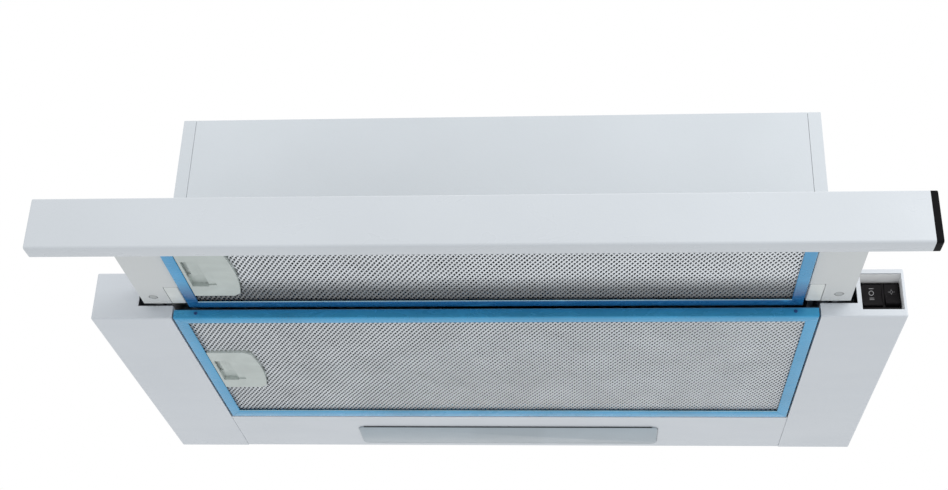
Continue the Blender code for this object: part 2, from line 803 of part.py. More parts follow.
def make_outlet():
    """The duct collar on the top panel, with two non-return flaps on a pin across it."""
    inner, ledge = OUTLET_RADIUS - 2 * MM, 54 * MM
    profile = [
        (GAP, ledge),
        (GAP, 68 * MM),
        (2.3 * MM, 68 * MM),
        (2.3 * MM, OUTLET_RADIUS),
        (OUTLET_HEIGHT, OUTLET_RADIUS),
        (OUTLET_HEIGHT, inner),
        (2.3 * MM, inner),
        (2.3 * MM, ledge),
    ]
    turned("outlet_collar", profile, "Z", (0, OUTLET_Y, CASE_HEIGHT), 48, BLACK_PLASTIC)
    reach = inner - 0.5 * MM
    rod("flap_pin", 1.5 * MM, "X", FLAP_PIN, -reach, reach, 12, ZINC_STEEL)
    make_flap("flap_front", -1, [(-46 * MM, -30 * MM), (6 * MM, 22 * MM)])
    make_flap("flap_rear", 1, [(-22 * MM, -6 * MM), (30 * MM, 46 * MM)])


# Tray


def fascia_outline(wall=None):
    """The (y, z) outline of the fascia's section: the full end shape, or with a wall the folded sheet."""
    low, high = UNDER - FASCIA_DROP, UNDER - FASCIA_DROP + FASCIA_HEIGHT
    front, back = FASCIA_FRONT, FASCIA_FRONT + FASCIA_DEPTH
    big, small = FASCIA_RADIUS, 1.5 * MM

    def around(inset):
        points = arc((back - small, low + small), small - inset, 0, -90, 3)
        points += arc((front + big, low + big), big - inset, 270, 180, 6)
        points += arc((front + small, high - small), small - inset, 180, 90, 3)
        points += arc((back - small, high - small), small - inset, 90, 0, 3)
        return points

    if wall is None:
        return around(0)
    outline = [(back, low + 7 * MM)] + around(0) + [(back, high - 4.5 * MM), (back - wall, high - 4.5 * MM)]
    outline += list(reversed(around(wall))) + [(back - wall, low + 7 * MM)]
    return outline


def make_fascia():
    """The folded front of the tray with a plain left end plate, a black right end cap and a joining bar."""
    outer_left, outer_right = FASCIA_SHIFT - FASCIA_HALF, FASCIA_SHIFT + FASCIA_HALF
    left, right = outer_left + END_PLATE, outer_right - END_CAP
    sheet = fascia_outline(FASCIA_WALL)
    fascia = prism("tray_fascia", sheet, "X", left + GAP, right - GAP, WHITE_PAINT)
    solid = fascia_outline()
    end_plate = prism("fascia_end_plate", solid, "X", outer_left, left, WHITE_PAINT)
    end_cap = prism("fascia_end_cap", solid, "X", right, outer_right, BLACK_PLASTIC)
    bar_front = FASCIA_FRONT + FASCIA_WALL + GAP
    bar = block(
        "tray_cross_bar",
        (-ARM_OUTER, bar_front, UNDER + 8 * MM),
        (ARM_OUTER, bar_front + 2 * MM, UNDER + 25 * MM),
        ZINC_STEEL,
    )
    return [fascia, end_plate, end_cap, bar]


def make_arm(name, side):
    """A white channel, open upwards, from the fascia to the body, with a turned-up rear lip."""
    low, high = UNDER + ARM_BOTTOM, UNDER + ARM_TOP
    outline = [
        (ARM_INNER, low),
        (ARM_OUTER, low),
        (ARM_OUTER, high),
        (ARM_OUTER - SHEET, high),
        (ARM_OUTER - SHEET, low + SHEET),
        (ARM_INNER + SHEET, low + SHEET),
        (ARM_INNER + SHEET, high),
        (ARM_INNER, high),
    ]
    front, rear = FASCIA_FRONT + FASCIA_WALL + 2 * GAP + 2 * MM, FRONT + ARM_REAR
    arm = prism(name, mirrored(side, outline), "Y", front, rear, WHITE_PAINT)
    lip_low, lip_high = low + 0.5 * SHEET, low + 3 * MM
    join_block(
        arm,
        "rear_lip",
        *sided(side, 238 * MM, ARM_OUTER - 0.5 * SHEET, (rear - SHEET, rear), (lip_low, lip_high)),
    )
    cut_block(
        arm,
        "runner_gate",
        *sided(
            side,
            RAIL_CENTRE - 3 * MM,
            RAIL_CENTRE + 3 * MM,
            (rear - 2 * SHEET, rear + SHEET),
            (low + SHEET, lip_high + SHEET),
        ),
    )
    cut_block(
        arm,
        "block_notch",
        *sided(
            side,
            ARM_INNER - SHEET,
            GLIDE_OUTER + GAP,
            (rear - GLIDE_LENGTH - GAP, rear + SHEET),
            (low - SHEET, UNDER + GLIDE_TOP + GAP),
        ),
    )
    screw_hole = rod(f"{name}_screw_hole", 3.4 * MM, "Z", screw_place(side), -2 * MM, 2 * MM, 20)
    combine(arm, screw_hole)
    return arm


def screw_place(side):
    """Centre of the screw in an arm's underside."""
    return (side * (RAIL_CENTRE + 0.5 * MM), FRONT - 14 * MM, UNDER + ARM_BOTTOM)


def make_runner(name, side):
    """A T-shaped steel runner on the arm, whose head hangs in the slide rail."""
    stem, head = 2.2 * MM, 5 * MM
    low = UNDER + ARM_BOTTOM + SHEET + GAP
    shoulder, top = UNDER + 17.2 * MM, UNDER + 26 * MM
    outline = [
        (stem, low),
        (stem, shoulder),
        (head, shoulder),
        (head, top),
        (-head, top),
        (-head, shoulder),
        (-stem, shoulder),
        (-stem, low),
    ]
    centred = [(side * RAIL_CENTRE + u, v) for u, v in outline]
    front = FASCIA_FRONT + 8 * MM
    runner = prism(name, centred, "Y", front, FRONT + 140 * MM, ZINC_STEEL)
    hole = rod(f"{name}_screw_hole", 1.7 * MM, "Z", screw_place(side), 0, 9 * MM, 12)
    combine(runner, hole)
    return runner


def make_arm_screw(name, side):
    """A low-headed screw that holds the arm to the runner."""
    profile = [
        (0.1 * MM, 0),
        (0, 1.2 * MM),
        (0, 2.6 * MM),
        (0.5 * MM, 3.0 * MM),
        (1.0 * MM, 3.0 * MM),
        (1.2 * MM, 1.4 * MM),
        (8 * MM, 1.4 * MM),
        (8 * MM, 0),
    ]
    return turned(name, profile, "Z", screw_place(side), 20, ZINC_STEEL)


def make_tray():
    """The pull-out tray: fascia, arms, runners, glide blocks and screws, on the slide's empty."""
    slide = joint_empty("tray_slide", (0, FASCIA_FRONT + FASCIA_DEPTH, UNDER + ARM_BOTTOM))
    pieces = make_fascia()
    rear = FRONT + ARM_REAR
    nose_y = latch_span(SLIDING_HANDLE_FRONT)
    lift = UNDER + SLIDING_LIFT
    for word, side in (("left", -1), ("right", 1)):
        arm = make_arm(f"tray_arm_{word}", side)
        wall = (ARM_INNER - SHEET, ARM_INNER + 1.5 * SHEET)
        if side < 0:
            span = (nose_y[0] - 1 * MM, nose_y[1] + 1 * MM)
            height = (lift + KEEPER_LOW, lift + KEEPER_HIGH)
            cut_block(arm, "keeper_slot", *sided(side, *wall, span, height))
        else:
            for index, centre_y in enumerate(lug_places(SLIDING_FRONT, SLIDING_DEPTH)):
                span = (centre_y - 7 * MM, centre_y + 7 * MM)
                height = (lift + FILTER_THICKNESS, lift + 11.5 * MM)
                cut_block(arm, f"lug_slot_{index}", *sided(side, *wall, span, height))
        glide_low, glide_high = sided(
            side,
            ARM_INNER + GAP,
            GLIDE_OUTER,
            (rear - GLIDE_LENGTH, rear - GAP),
            (UNDER + 10.9 * MM, UNDER + GLIDE_TOP),
        )
        glide = block(f"glide_block_{word}", glide_low, glide_high, WHITE_PLASTIC, radius=0.8 * MM)
        runner = make_runner(f"tray_runner_{word}", side)
        screw = make_arm_screw(f"arm_screw_{word}", side)
        pieces += [arm, glide, runner, screw]
    carry(slide, *pieces)
    return slide


# Grease filters

def latch_span(handle_front):
    """The y range of a latch inside the handle that starts at handle_front."""
    return (handle_front + LATCH_OFFSET, handle_front + LATCH_OFFSET + LATCH_LENGTH)


def lug_places(front, depth):
    """The y positions of a filter's two lugs."""
    return [front + share * depth for share in LUG_SHARES]


def handle_outline(x_start, y_start, grow):
    """The D-shaped plan of a filter handle: straight left side and ends, bulged right side."""
    half = HANDLE_LENGTH / 2
    corner = 4 * MM
    shoulder = HANDLE_WIDTH - HANDLE_BULGE
    radius = (half**2 + HANDLE_BULGE**2) / (2 * HANDLE_BULGE)
    spread = degrees(asin((half - corner) / radius))
    centre = (x_start + HANDLE_WIDTH - radius, y_start + half)
    points = [(x_start - grow, y_start - grow), (x_start + shoulder - corner, y_start - grow)]
    points += arc(centre, radius + grow, -spread, spread, 10)
    points += [
        (x_start + shoulder - corner, y_start + HANDLE_LENGTH + grow),
        (x_start - grow, y_start + HANDLE_LENGTH + grow),
    ]
    return points


def make_handle(name, x_start, y_start, base):
    """A filter handle: a plate with a finger window over a wider chamber for the sliding latch."""
    floor, roof = base + 0.6 * MM, base + 6.6 * MM
    outline = handle_outline(x_start + GAP, y_start, 0)
    handle = prism(name, outline, "Z", floor, roof, GREY_PLASTIC)
    window_front, window_rear = y_start + WINDOW_ENDS[0], y_start + WINDOW_ENDS[1]
    window = (
        (x_start + 2.3 * MM, window_front, floor - 1 * MM),
        (x_start + 14.6 * MM, window_rear, base + 3.9 * MM),
    )
    cut_block(handle, "window", *window)
    chamber = (
        (x_start - 1 * MM, window_front, base + 2.2 * MM),
        (x_start + 22.5 * MM, latch_span(y_start)[1] + 2 * MM, base + 5.6 * MM),
    )
    cut_block(handle, "chamber", *chamber)
    ramp_low, ramp_high = window_front + 2.5 * MM, window_rear - 1.8 * MM
    wedge = [
        (ramp_low, floor - 0.01 * MM),
        (ramp_low, floor - 1 * MM),
        (ramp_high, floor - 1 * MM),
        (ramp_high, floor + 1.0 * MM),
    ]
    wedge_x = (x_start + 14.0 * MM, x_start + 20.6 * MM)
    combine(handle, prism(f"{name}_thumb_ramp", wedge, "X", *wedge_x))
    return handle


def make_latch(name, x_start, y_start, base):
    """The sliding latch: a nose through the frame's bar, a body in the handle and a thumb lip."""
    nose_low, nose_high = base + NOSE_LOW, base + NOSE_HIGH
    body_low, body_high = base + 2.5 * MM, base + 5.3 * MM
    tip = -FILTER_BAR - 0.8 * MM
    outline = [
        (tip + 0.7 * MM, nose_low),
        (4.3 * MM, nose_low),
        (5.0 * MM, body_low),
        (6.3 * MM, body_low),
        (6.5 * MM, base + 1.1 * MM),
        (7.2 * MM, base + 1.1 * MM),
        (10.4 * MM, body_low),
        (17.5 * MM, body_low),
        (17.5 * MM, body_high),
        (4.3 * MM, body_high),
        (4.3 * MM, nose_high),
        (tip, nose_high),
        (tip, nose_low + 0.5 * MM),
    ]
    placed = [(x_start + u, v) for u, v in outline]
    return prism(name, placed, "Y", *latch_span(y_start), GREY_PLASTIC)


def make_filter(prefix, half, front, depth, rear_bar, base, handle_front, hinge_parent=None):
    """A grease filter: frame, mesh pad, handle, latch and two lugs, hung on its right lower edge."""
    rear, top = front + depth, base + FILTER_THICKNESS
    hinge = joint_empty(f"{prefix}_hinge", (half, front + depth / 2, base), hinge_parent)
    shape = block_shape((-half, front, base), (half, rear, top))
    round_edges(shape, 1.0 * MM, 2, lambda middle, direction: True)
    frame = add_object(f"{prefix}_frame", shape, BLUE_FILM)
    inner_low = (-half + FILTER_BAR, front + FILTER_BAR)
    inner_high = (half - FILTER_BAR, rear - rear_bar)
    cut_block(frame, "opening", (*inner_low, base - 1 * MM), (*inner_high, top + 1 * MM))
    nose_y = latch_span(handle_front)
    cut_block(
        frame,
        "latch_slot",
        (-half - 1 * MM, nose_y[0] - 0.5 * MM, base + KEEPER_LOW),
        (inner_low[0] + 1 * MM, nose_y[1] + 0.5 * MM, base + KEEPER_HIGH),
    )
    pad = block(
        f"{prefix}_mesh",
        (inner_low[0] + GAP, inner_low[1] + GAP, base + MESH_LEVEL),
        (inner_high[0] - GAP, inner_high[1] - GAP, base + MESH_LEVEL + MESH_METAL),
        BARE_ALUMINIUM,
    )
    plan = handle_outline(inner_low[0] - 1 * MM, handle_front, GAP + 0.2 * MM)
    shifted = [(x + 1.3 * MM if x > inner_low[0] else x, y) for x, y in plan]
    combine(pad, prism(f"{prefix}_handle_space", shifted, "Z", base, top))
    handle = make_handle(f"{prefix}_handle", inner_low[0], handle_front, base)
    latch = make_latch(f"{prefix}_latch", inner_low[0], handle_front, base)
    lugs = []
    for word, centre_y in zip(("front", "rear"), lug_places(front, depth)):
        lug = block(
            f"{prefix}_lug_{word}",
            (half - 7 * MM, centre_y - 6 * MM, top + GAP),
            (half + 3.9 * MM, centre_y + 6 * MM, top + GAP + SHEET),
            ZINC_STEEL,
        )
        lugs.append(lug)
    carry(hinge, frame, pad, handle, *lugs)
    nose_centre = (inner_low[0], sum(nose_y) / 2, base + 4 * MM)
    carry(joint_empty(f"{prefix}_latch_slide", nose_centre, hinge), latch)


def make_filters(tray_slide):
    """The fixed filter in the body and the sliding filter in the tray."""
    make_filter(
        "fixed_filter", FIXED_HALF, FRONT, FIXED_DEPTH, FIXED_REAR_BAR, UNDER, FIXED_HANDLE_FRONT
    )
    make_filter(
        "sliding_filter",
        SLIDING_HALF,
        SLIDING_FRONT,
        SLIDING_DEPTH,
        FILTER_BAR,
        UNDER + SLIDING_LIFT,
        SLIDING_HANDLE_FRONT,
        tray_slide,
    )


def main():
    """Build the whole hood."""
    clear_scene()
    make_case()
    make_cross_rail()
    make_lower_body()
    make_slide_rails()
    make_lamp()
    make_switches()
    make_scroll()
    make_impeller()
    make_motor()
    make_terminal_box()
    make_outlet()
    make_filters(make_tray())


main()
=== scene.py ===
"""Looks of a slim pull-out range hood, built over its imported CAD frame.

Metres, +Z up, +Y towards the wall, +X to the right of a cook who faces the hood.
The CAD frame gives every place. This script adds the finishes, the filters' open metal mesh and
folded frames, the fascia's skin and ends, the switch symbols, the screws, the lamp's lens and its
diodes, and then the floor, the lights and the camera.
"""

from __future__ import annotations

import logging
import math
from collections.abc import Callable, Sequence
from dataclasses import dataclass, field
from enum import Enum

import bpy
import numpy as np
from mathutils import Euler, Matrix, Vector
from numpy.typing import NDArray


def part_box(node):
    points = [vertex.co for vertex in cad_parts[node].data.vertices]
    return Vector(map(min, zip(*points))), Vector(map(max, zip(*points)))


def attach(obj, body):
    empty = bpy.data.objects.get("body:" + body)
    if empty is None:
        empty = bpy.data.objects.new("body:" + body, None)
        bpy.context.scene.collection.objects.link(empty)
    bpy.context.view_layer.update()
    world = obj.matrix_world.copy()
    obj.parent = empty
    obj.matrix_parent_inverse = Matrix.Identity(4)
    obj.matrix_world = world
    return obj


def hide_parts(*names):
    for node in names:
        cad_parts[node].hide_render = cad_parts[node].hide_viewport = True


LOG = logging.getLogger("range_hood")
MM = 0.001
SHARP_ANGLE = 32.0
SHORTEST = 1e-6
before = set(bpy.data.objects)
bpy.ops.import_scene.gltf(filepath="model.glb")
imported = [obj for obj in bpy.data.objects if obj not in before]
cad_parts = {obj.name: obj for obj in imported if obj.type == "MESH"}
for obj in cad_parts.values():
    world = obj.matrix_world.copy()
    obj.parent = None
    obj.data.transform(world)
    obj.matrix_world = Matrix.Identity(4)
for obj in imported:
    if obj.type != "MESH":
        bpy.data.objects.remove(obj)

Array = NDArray[np.float64]
Indices = NDArray[np.int64]
Colour = tuple[float, float, float]
Stops = Sequence[tuple[float, Colour]]
Outline = Callable[[Array], Array]
Socket = bpy.types.NodeSocket
Node = bpy.types.Node


class Side(Enum):
    """The side of the hood that a piece is on, as the sign of its X."""

    LEFT = -1
    RIGHT = 1


class Edge(Enum):
    """The four bars of a filter's frame."""

    FRONT = "front"
    REAR = "rear"
    LEFT = "left"
    RIGHT = "right"


# Surfaces as arrays


@dataclass
class Shell:
    """One or more closed surfaces: points, four-sided faces, and flat end faces of any outline."""

    points: Array
    quads: Indices
    caps: list[Indices] = field(default_factory=list)

    def loops(self) -> tuple[Indices, Indices]:
        """Every face's corners in one row, and how many corners each face has.

        Returns:
            The corner indices and the corner counts.
        """
        corners = np.concatenate([self.quads.ravel(), *self.caps])
        counts = np.array([4] * len(self.quads) + [len(cap) for cap in self.caps], dtype=np.int64)
        return corners.astype(np.int64), counts

    def signed_volume(self) -> float:
        """Six times the enclosed volume, negative if the faces point inwards.

        It adds up the triple products of each face's fan of triangles.

        Returns:
            The sum.
        """
        a, b, c, d = (self.points[self.quads[:, i]] for i in range(4))
        total = np.einsum("ij,ij->", a, np.cross(b, c) + np.cross(c, d))
        for cap in self.caps:
            ring = self.points[cap]
            total += float(np.einsum("j,ij->", ring[0], np.cross(ring[1:-1], ring[2:])))
        return float(total)

    def outward(self) -> Shell:
        """The same surface with its faces turned outwards.

        Returns:
            This shell, or a copy with every face's corners reversed.
        """
        if self.signed_volume() >= 0:
            return self
        return Shell(self.points, self.quads[:, ::-1], [cap[::-1] for cap in self.caps])


def joined(shells: Sequence[Shell]) -> Shell:
    """Put several closed surfaces into one.

    Args:
        shells: The surfaces, none of which may be empty.

    Returns:
        One shell that holds them all, each with its faces outwards.
    """
    turned = [shell.outward() for shell in shells]
    starts = np.cumsum([0] + [len(shell.points) for shell in turned[:-1]])
    points = np.concatenate([shell.points for shell in turned])
    quads = np.concatenate([shell.quads + start for shell, start in zip(turned, starts)])
    caps = [cap + start for shell, start in zip(turned, starts) for cap in shell.caps]
    return Shell(points, quads, caps)


def grid_quads(
    rows: int, columns: int, wrap_rows: bool = False, wrap_columns: bool = False
) -> Indices:
    """The faces of a rows by columns grid of points, numbered row by row.

    Args:
        rows: Number of rows of points.
        columns: Number of points in a row.
        wrap_rows: Join the last row to the first.
        wrap_columns: Join the last column to the first.

    Returns:
        One line of four point numbers per face.
    """
    row = np.arange(rows if wrap_rows else rows - 1)[:, None]
    column = np.arange(columns if wrap_columns else columns - 1)[None, :]
    next_row, next_column = (row + 1) % rows, (column + 1) % columns
    corners = (
        row * columns + column,
        row * columns + next_column,
        next_row * columns + next_column,
        next_row * columns + column,
    )
    return np.stack(corners, axis=-1).reshape(-1, 4)


def carried(rings: Array) -> Shell:
    """Closed rings of points in a row, joined into a tube with a flat face at each end.

    Args:
        rings: Stations by points by 3.

    Returns:
        The closed tube.
    """
    stations, count = rings.shape[:2]
    walls = grid_quads(stations, count, wrap_columns=True)
    first = np.arange(count)[::-1]
    last = np.arange(count) + (stations - 1) * count
    return Shell(rings.reshape(-1, 3), walls, [first, last])


def looped(rings: Array) -> Shell:
    """Closed rings of points whose last one joins the first, as on a ring or a washer.

    Args:
        rings: Stations by points by 3.

    Returns:
        The closed loop, which needs no end faces.
    """
    stations, count = rings.shape[:2]
    walls = grid_quads(stations, count, wrap_rows=True, wrap_columns=True)
    return Shell(rings.reshape(-1, 3), walls)


def cuboid(low: Sequence[float], high: Sequence[float]) -> Shell:
    """A plain block between two corners, as a tube of two square rings.

    Args:
        low: Lowest corner.
        high: Highest corner.

    Returns:
        The block.
    """
    (x0, y0, z0), (x1, y1, z1) = low, high
    ring = np.array([(x0, y0), (x1, y0), (x1, y1), (x0, y1)])
    rings = np.stack([np.column_stack([ring, np.full(4, z)]) for z in (z0, z1)])
    return carried(rings)


def arc(centre: Sequence[float], radius: float, first: float, last: float, steps: int) -> Array:
    """Points on an arc: the centre plus the radius times cosine and sine of evenly spaced angles.

    Args:
        centre: The arc's centre, as two coordinates.
        radius: Its radius.
        first: First angle in degrees.
        last: Last angle in degrees.
        steps: Number of steps between them.

    Returns:
        Steps + 1 points of two coordinates.
    """
    angle = np.radians(np.linspace(first, last, steps + 1))
    return np.column_stack([centre[0] + radius * np.cos(angle), centre[1] + radius * np.sin(angle)])


def turned(
    profile: Sequence[tuple[float, float]],
    centre: Sequence[float],
    axis: Sequence[float],
    steps: int,
) -> Shell:
    """A profile turned about an axis.

    A point of the profile stands at centre + axis * height, and its ring has the profile's radius
    in the plane across the axis. The profile's first and last ring are closed by flat faces.

    Args:
        profile: Pairs of height along the axis and radius.
        centre: A point on the axis.
        axis: The axis as a unit vector.
        steps: Points in a ring.

    Returns:
        The closed turned shape.
    """
    along = np.asarray(axis, dtype=float)
    helper = np.array([1.0, 0.0, 0.0]) if abs(along[0]) < 0.9 else np.array([0.0, 1.0, 0.0])
    across = np.cross(along, helper)
    across /= np.linalg.norm(across)
    third = np.cross(along, across)
    heights, radii = (np.array(column) for column in zip(*profile))
    angle = np.linspace(0, 2 * np.pi, steps, endpoint=False)
    circle = np.cos(angle)[:, None] * across + np.sin(angle)[:, None] * third
    rings = (
        np.asarray(centre, dtype=float)
        + heights[:, None, None] * along
        + radii[:, None, None] * circle[None, :, :]
    )
    return carried(rings)


def make_piece(
    name: str,
    shell: Shell,
    material: bpy.types.Material,
    body: str,
    replaces: Sequence[str] = (),
    sharp_angle: float = SHARP_ANGLE,
) -> bpy.types.Object:
    """Turn a shell into a piece of the hood that rides on a CAD body.

    Args:
        name: The piece's name.
        shell: Its surface, in world coordinates.
        material: Its finish.
        body: The CAD body that it moves with.
        replaces: CAD nodes that it stands for.
        sharp_angle: Edges that turn by more degrees than this stay sharp.

    Returns:
        The new object.
    """
    shell = shell.outward()
    corners, counts = shell.loops()
    mesh = bpy.data.meshes.new(name)
    mesh.vertices.add(len(shell.points))
    mesh.vertices.foreach_set("co", shell.points.astype(np.float32).ravel())
    mesh.loops.add(len(corners))
    mesh.loops.foreach_set("vertex_index", corners.astype(np.int32))
    mesh.polygons.add(len(counts))
    starts = np.concatenate([[0], np.cumsum(counts)[:-1]])
    mesh.polygons.foreach_set("loop_start", starts.astype(np.int32))
    mesh.update(calc_edges=True)
    mesh.validate()
    mesh.shade_smooth()
    mesh.set_sharp_from_angle(angle=math.radians(sharp_angle))
    mesh.materials.append(material)
    piece = bpy.data.objects.new(name, mesh)
    bpy.context.scene.collection.objects.link(piece)
    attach(piece, body)
    if replaces:
        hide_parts(*replaces)
    LOG.info("%s: %d faces on %s", name, len(counts), body)
    return piece


def corners_of(node: str) -> tuple[Array, Array]:
    """The lowest and highest corner of a CAD node as arrays.

    Args:
        node: The CAD node's name.

    Returns:
        Both corners, in metres.
    """
    low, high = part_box(node)
    return np.array(low), np.array(high)


def dress_nodes(material: bpy.types.Material, *nodes: str) -> None:
    """Put a finish on CAD nodes.

    Args:
        material: The finish.
        nodes: The CAD nodes' names.
    """
    for name in nodes:
        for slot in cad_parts[name].material_slots:
            slot.material = material
    LOG.info("%s on %s", material.name, ", ".join(nodes))


# Finishes


class NodeSheet:
    """The node tree of one finish, with short calls for the nodes that the finishes share."""

    def __init__(self, name: str) -> None:
        """Start a material with one Principled shader.

        Args:
            name: The material's name.
        """
        self.material = bpy.data.materials.new(name)
        self.material.use_nodes = True
        self.tree = self.material.node_tree
        self.shader = self.tree.nodes["Principled BSDF"]
        self.place = self.tree.nodes.new("ShaderNodeTexCoord").outputs["Object"]

    def constants(self, **values: object) -> None:
        """Set the shader's own sockets.

        Args:
            values: Socket names with underscores for spaces, and their values.
        """
        for key, value in values.items():
            self.shader.inputs[key.replace("_", " ")].default_value = value

    def link(self, source: Socket, socket: str) -> None:
        """Feed one of the shader's sockets."""
        self.tree.links.new(source, self.shader.inputs[socket])

    def node(self, kind: str, inputs: dict[str | int, object], **settings: object) -> Node:
        """Add a node, with its settings, its values and its incoming links.

        Args:
            kind: Blender's node type.
            inputs: Socket names or numbers, with a value or a socket to link from.
            settings: The node's properties.

        Returns:
            The node.
        """
        made = self.tree.nodes.new(kind)
        for key, value in settings.items():
            setattr(made, key, value)
        for key, value in inputs.items():
            if isinstance(value, bpy.types.NodeSocket):
                self.tree.links.new(value, made.inputs[key])
            else:
                made.inputs[key].default_value = value
        return made

    def stretched(self, scale: Sequence[float], turn: Sequence[float] = (0.0, 0.0, 0.0)) -> Socket:
        """Object coordinates, stretched and turned for a pattern with a direction.

        Args:
            scale: Scale on X, Y and Z.
            turn: Turn about X, Y and Z in degrees.

        Returns:
            The new coordinates.
        """
        angles = tuple(math.radians(angle) for angle in turn)
        inputs = {"Vector": self.place, "Scale": tuple(scale), "Rotation": angles}
        return self.node("ShaderNodeMapping", inputs).outputs["Vector"]

    def axis(self, letter: str) -> Socket:
        """One of the object coordinates, by its letter."""
        return self.node("ShaderNodeSeparateXYZ", {"Vector": self.place}).outputs[letter]

    def maths(self, operation: str, *values: Socket | float) -> Socket:
        """Work out a value from one or two others.

        Args:
            operation: Blender's name for the operation.
            values: What it is worked out from.

        Returns:
            The result.
        """
        inputs = dict(enumerate(values))
        return self.node("ShaderNodeMath", inputs, operation=operation).outputs[0]

    def noise(
        self,
        scale: float,
        detail: float = 3.0,
        place: Socket | None = None,
        distortion: float = 0.0,
    ) -> Socket:
        """Cloudy noise between 0 and 1.

        Args:
            scale: Waves per metre, roughly.
            detail: Number of finer layers.
            place: Coordinates to read, or the piece's own.
            distortion: How far the pattern is pushed about.

        Returns:
            The noise value.
        """
        inputs = {"Vector": place or self.place, "Scale": scale, "Detail": detail}
        inputs["Distortion"] = distortion
        return self.node("ShaderNodeTexNoise", inputs).outputs["Fac"]

    def cells(self, scale: float, place: Socket | None = None) -> Socket:
        """A random grey for each cell of a cell pattern.

        Args:
            scale: Cells per metre.
            place: Coordinates to read, or the piece's own.

        Returns:
            The cells' colour.
        """
        inputs = {"Vector": place or self.place, "Scale": scale}
        return self.node("ShaderNodeTexVoronoi", inputs).outputs["Color"]

    def mapped(
        self, value: Socket, low: float, high: float, start: float = 0.3, end: float = 0.7
    ) -> Socket:
        """Stretch a value from one span to another, and hold it at the ends.

        Args:
            value: The value.
            low: Result at the span's start.
            high: Result at its end.
            start: Start of the value's span.
            end: End of the value's span.

        Returns:
            The stretched value.
        """
        inputs = {"Value": value, "From Min": start, "From Max": end}
        inputs |= {"To Min": low, "To Max": high}
        return self.node("ShaderNodeMapRange", inputs).outputs["Result"]

    def ramp(self, value: Socket, stops: Stops) -> Socket:
        """Turn a value into a colour.

        Args:
            value: A value between 0 and 1.
            stops: The first and the last place and colour.

        Returns:
            The colour.
        """
        made = self.node("ShaderNodeValToRGB", {"Fac": value})
        for element, (place, colour) in zip(made.color_ramp.elements, stops):
            element.position = place
            element.color = (*colour, 1.0)
        return made.outputs["Color"]

    def tinted(self, amount: Socket, first: Socket | Colour, second: Socket | Colour) -> Socket:
        """Mix two colours.

        Args:
            amount: Share of the second colour.
            first: First colour.
            second: Second colour.

        Returns:
            The mixed colour.
        """
        sides = [c if isinstance(c, bpy.types.NodeSocket) else (*c, 1.0) for c in (first, second)]
        inputs = {0: amount, 6: sides[0], 7: sides[1]}
        return self.node("ShaderNodeMix", inputs, data_type="RGBA").outputs[2]

    def cloudy(
        self, value: Socket, colour: Colour, dark: float, light: float, start: float = 0.3
    ) -> Socket:
        """A colour that drifts between a darker and a lighter tone of itself.

        Args:
            value: The value that it follows.
            colour: The middle colour.
            dark: Factor of the darker tone.
            light: Factor of the lighter tone.
            start: Value up to which the tone is darkest; it is lightest from 1 less this.

        Returns:
            The colour.
        """
        return self.ramp(value, [(start, shaded(colour, dark)), (1 - start, shaded(colour, light))])

    def bumped(
        self, height: Socket, depth: float, strength: float = 1.0, under: Socket | None = None
    ) -> Socket:
        """A bump, on top of another one if it is given.

        Args:
            height: Height between 0 and 1.
            depth: Depth of the bump in metres.
            strength: How much of it shows.
            under: A bump below this one.

        Returns:
            The normal.
        """
        inputs: dict[str | int, object] = {"Height": height, "Distance": depth}
        inputs["Strength"] = strength
        if under is not None:
            inputs["Normal"] = under
        return self.node("ShaderNodeBump", inputs).outputs["Normal"]


def shaded(colour: Colour, factor: float) -> Colour:
    """A colour made lighter or darker."""
    red, green, blue = (min(part * factor, 1.0) for part in colour)
    return (red, green, blue)


@dataclass(frozen=True)
class Finish:
    """What every finish has: a name, a colour, and a way to lay out its nodes."""

    name: str
    colour: Colour

    def material(self) -> bpy.types.Material:
        """Build the finish.

        Returns:
            The material.
        """
        sheet = NodeSheet(self.name)
        self.lay(sheet)
        return sheet.material

    def lay(self, sheet: NodeSheet) -> None:
        """Lay out the finish's nodes on its sheet."""
        raise NotImplementedError


@dataclass(frozen=True)
class PowderCoat(Finish):
    """Baked white powder paint: a fine orange peel, faint clouds, and a little handling grease."""

    roughness: float = 0.34
    peel_scale: float = 620.0
    peel_depth: float = 0.045 * MM
    wave_depth: float = 0.25 * MM

    def lay(self, sheet: NodeSheet) -> None:
        """Lay out clouds and dust specks, greasy smears, and peel over long waves."""
        base = sheet.cloudy(sheet.noise(7.0, 4.0), self.colour, 0.965, 1.02)
        specks = sheet.mapped(sheet.noise(1400.0, 2.0), 0.0, 0.12, 0.66, 0.74)
        sheet.link(sheet.tinted(specks, base, shaded(self.colour, 0.72)), "Base Color")
        smears = sheet.noise(16.0, 5.0, sheet.stretched((1.0, 3.0, 2.2), (0.0, 20.0, 12.0)), 0.6)
        sheet.link(sheet.mapped(smears, self.roughness - 0.06, self.roughness + 0.08), "Roughness")
        waves = sheet.bumped(sheet.noise(26.0, 2.0), self.wave_depth, 0.35)
        peel = sheet.noise(self.peel_scale, 2.0)
        sheet.link(sheet.bumped(peel, self.peel_depth, 0.8, waves), "Normal")
        sheet.constants(IOR=1.5, Coat_Weight=0.15, Coat_Roughness=0.18)


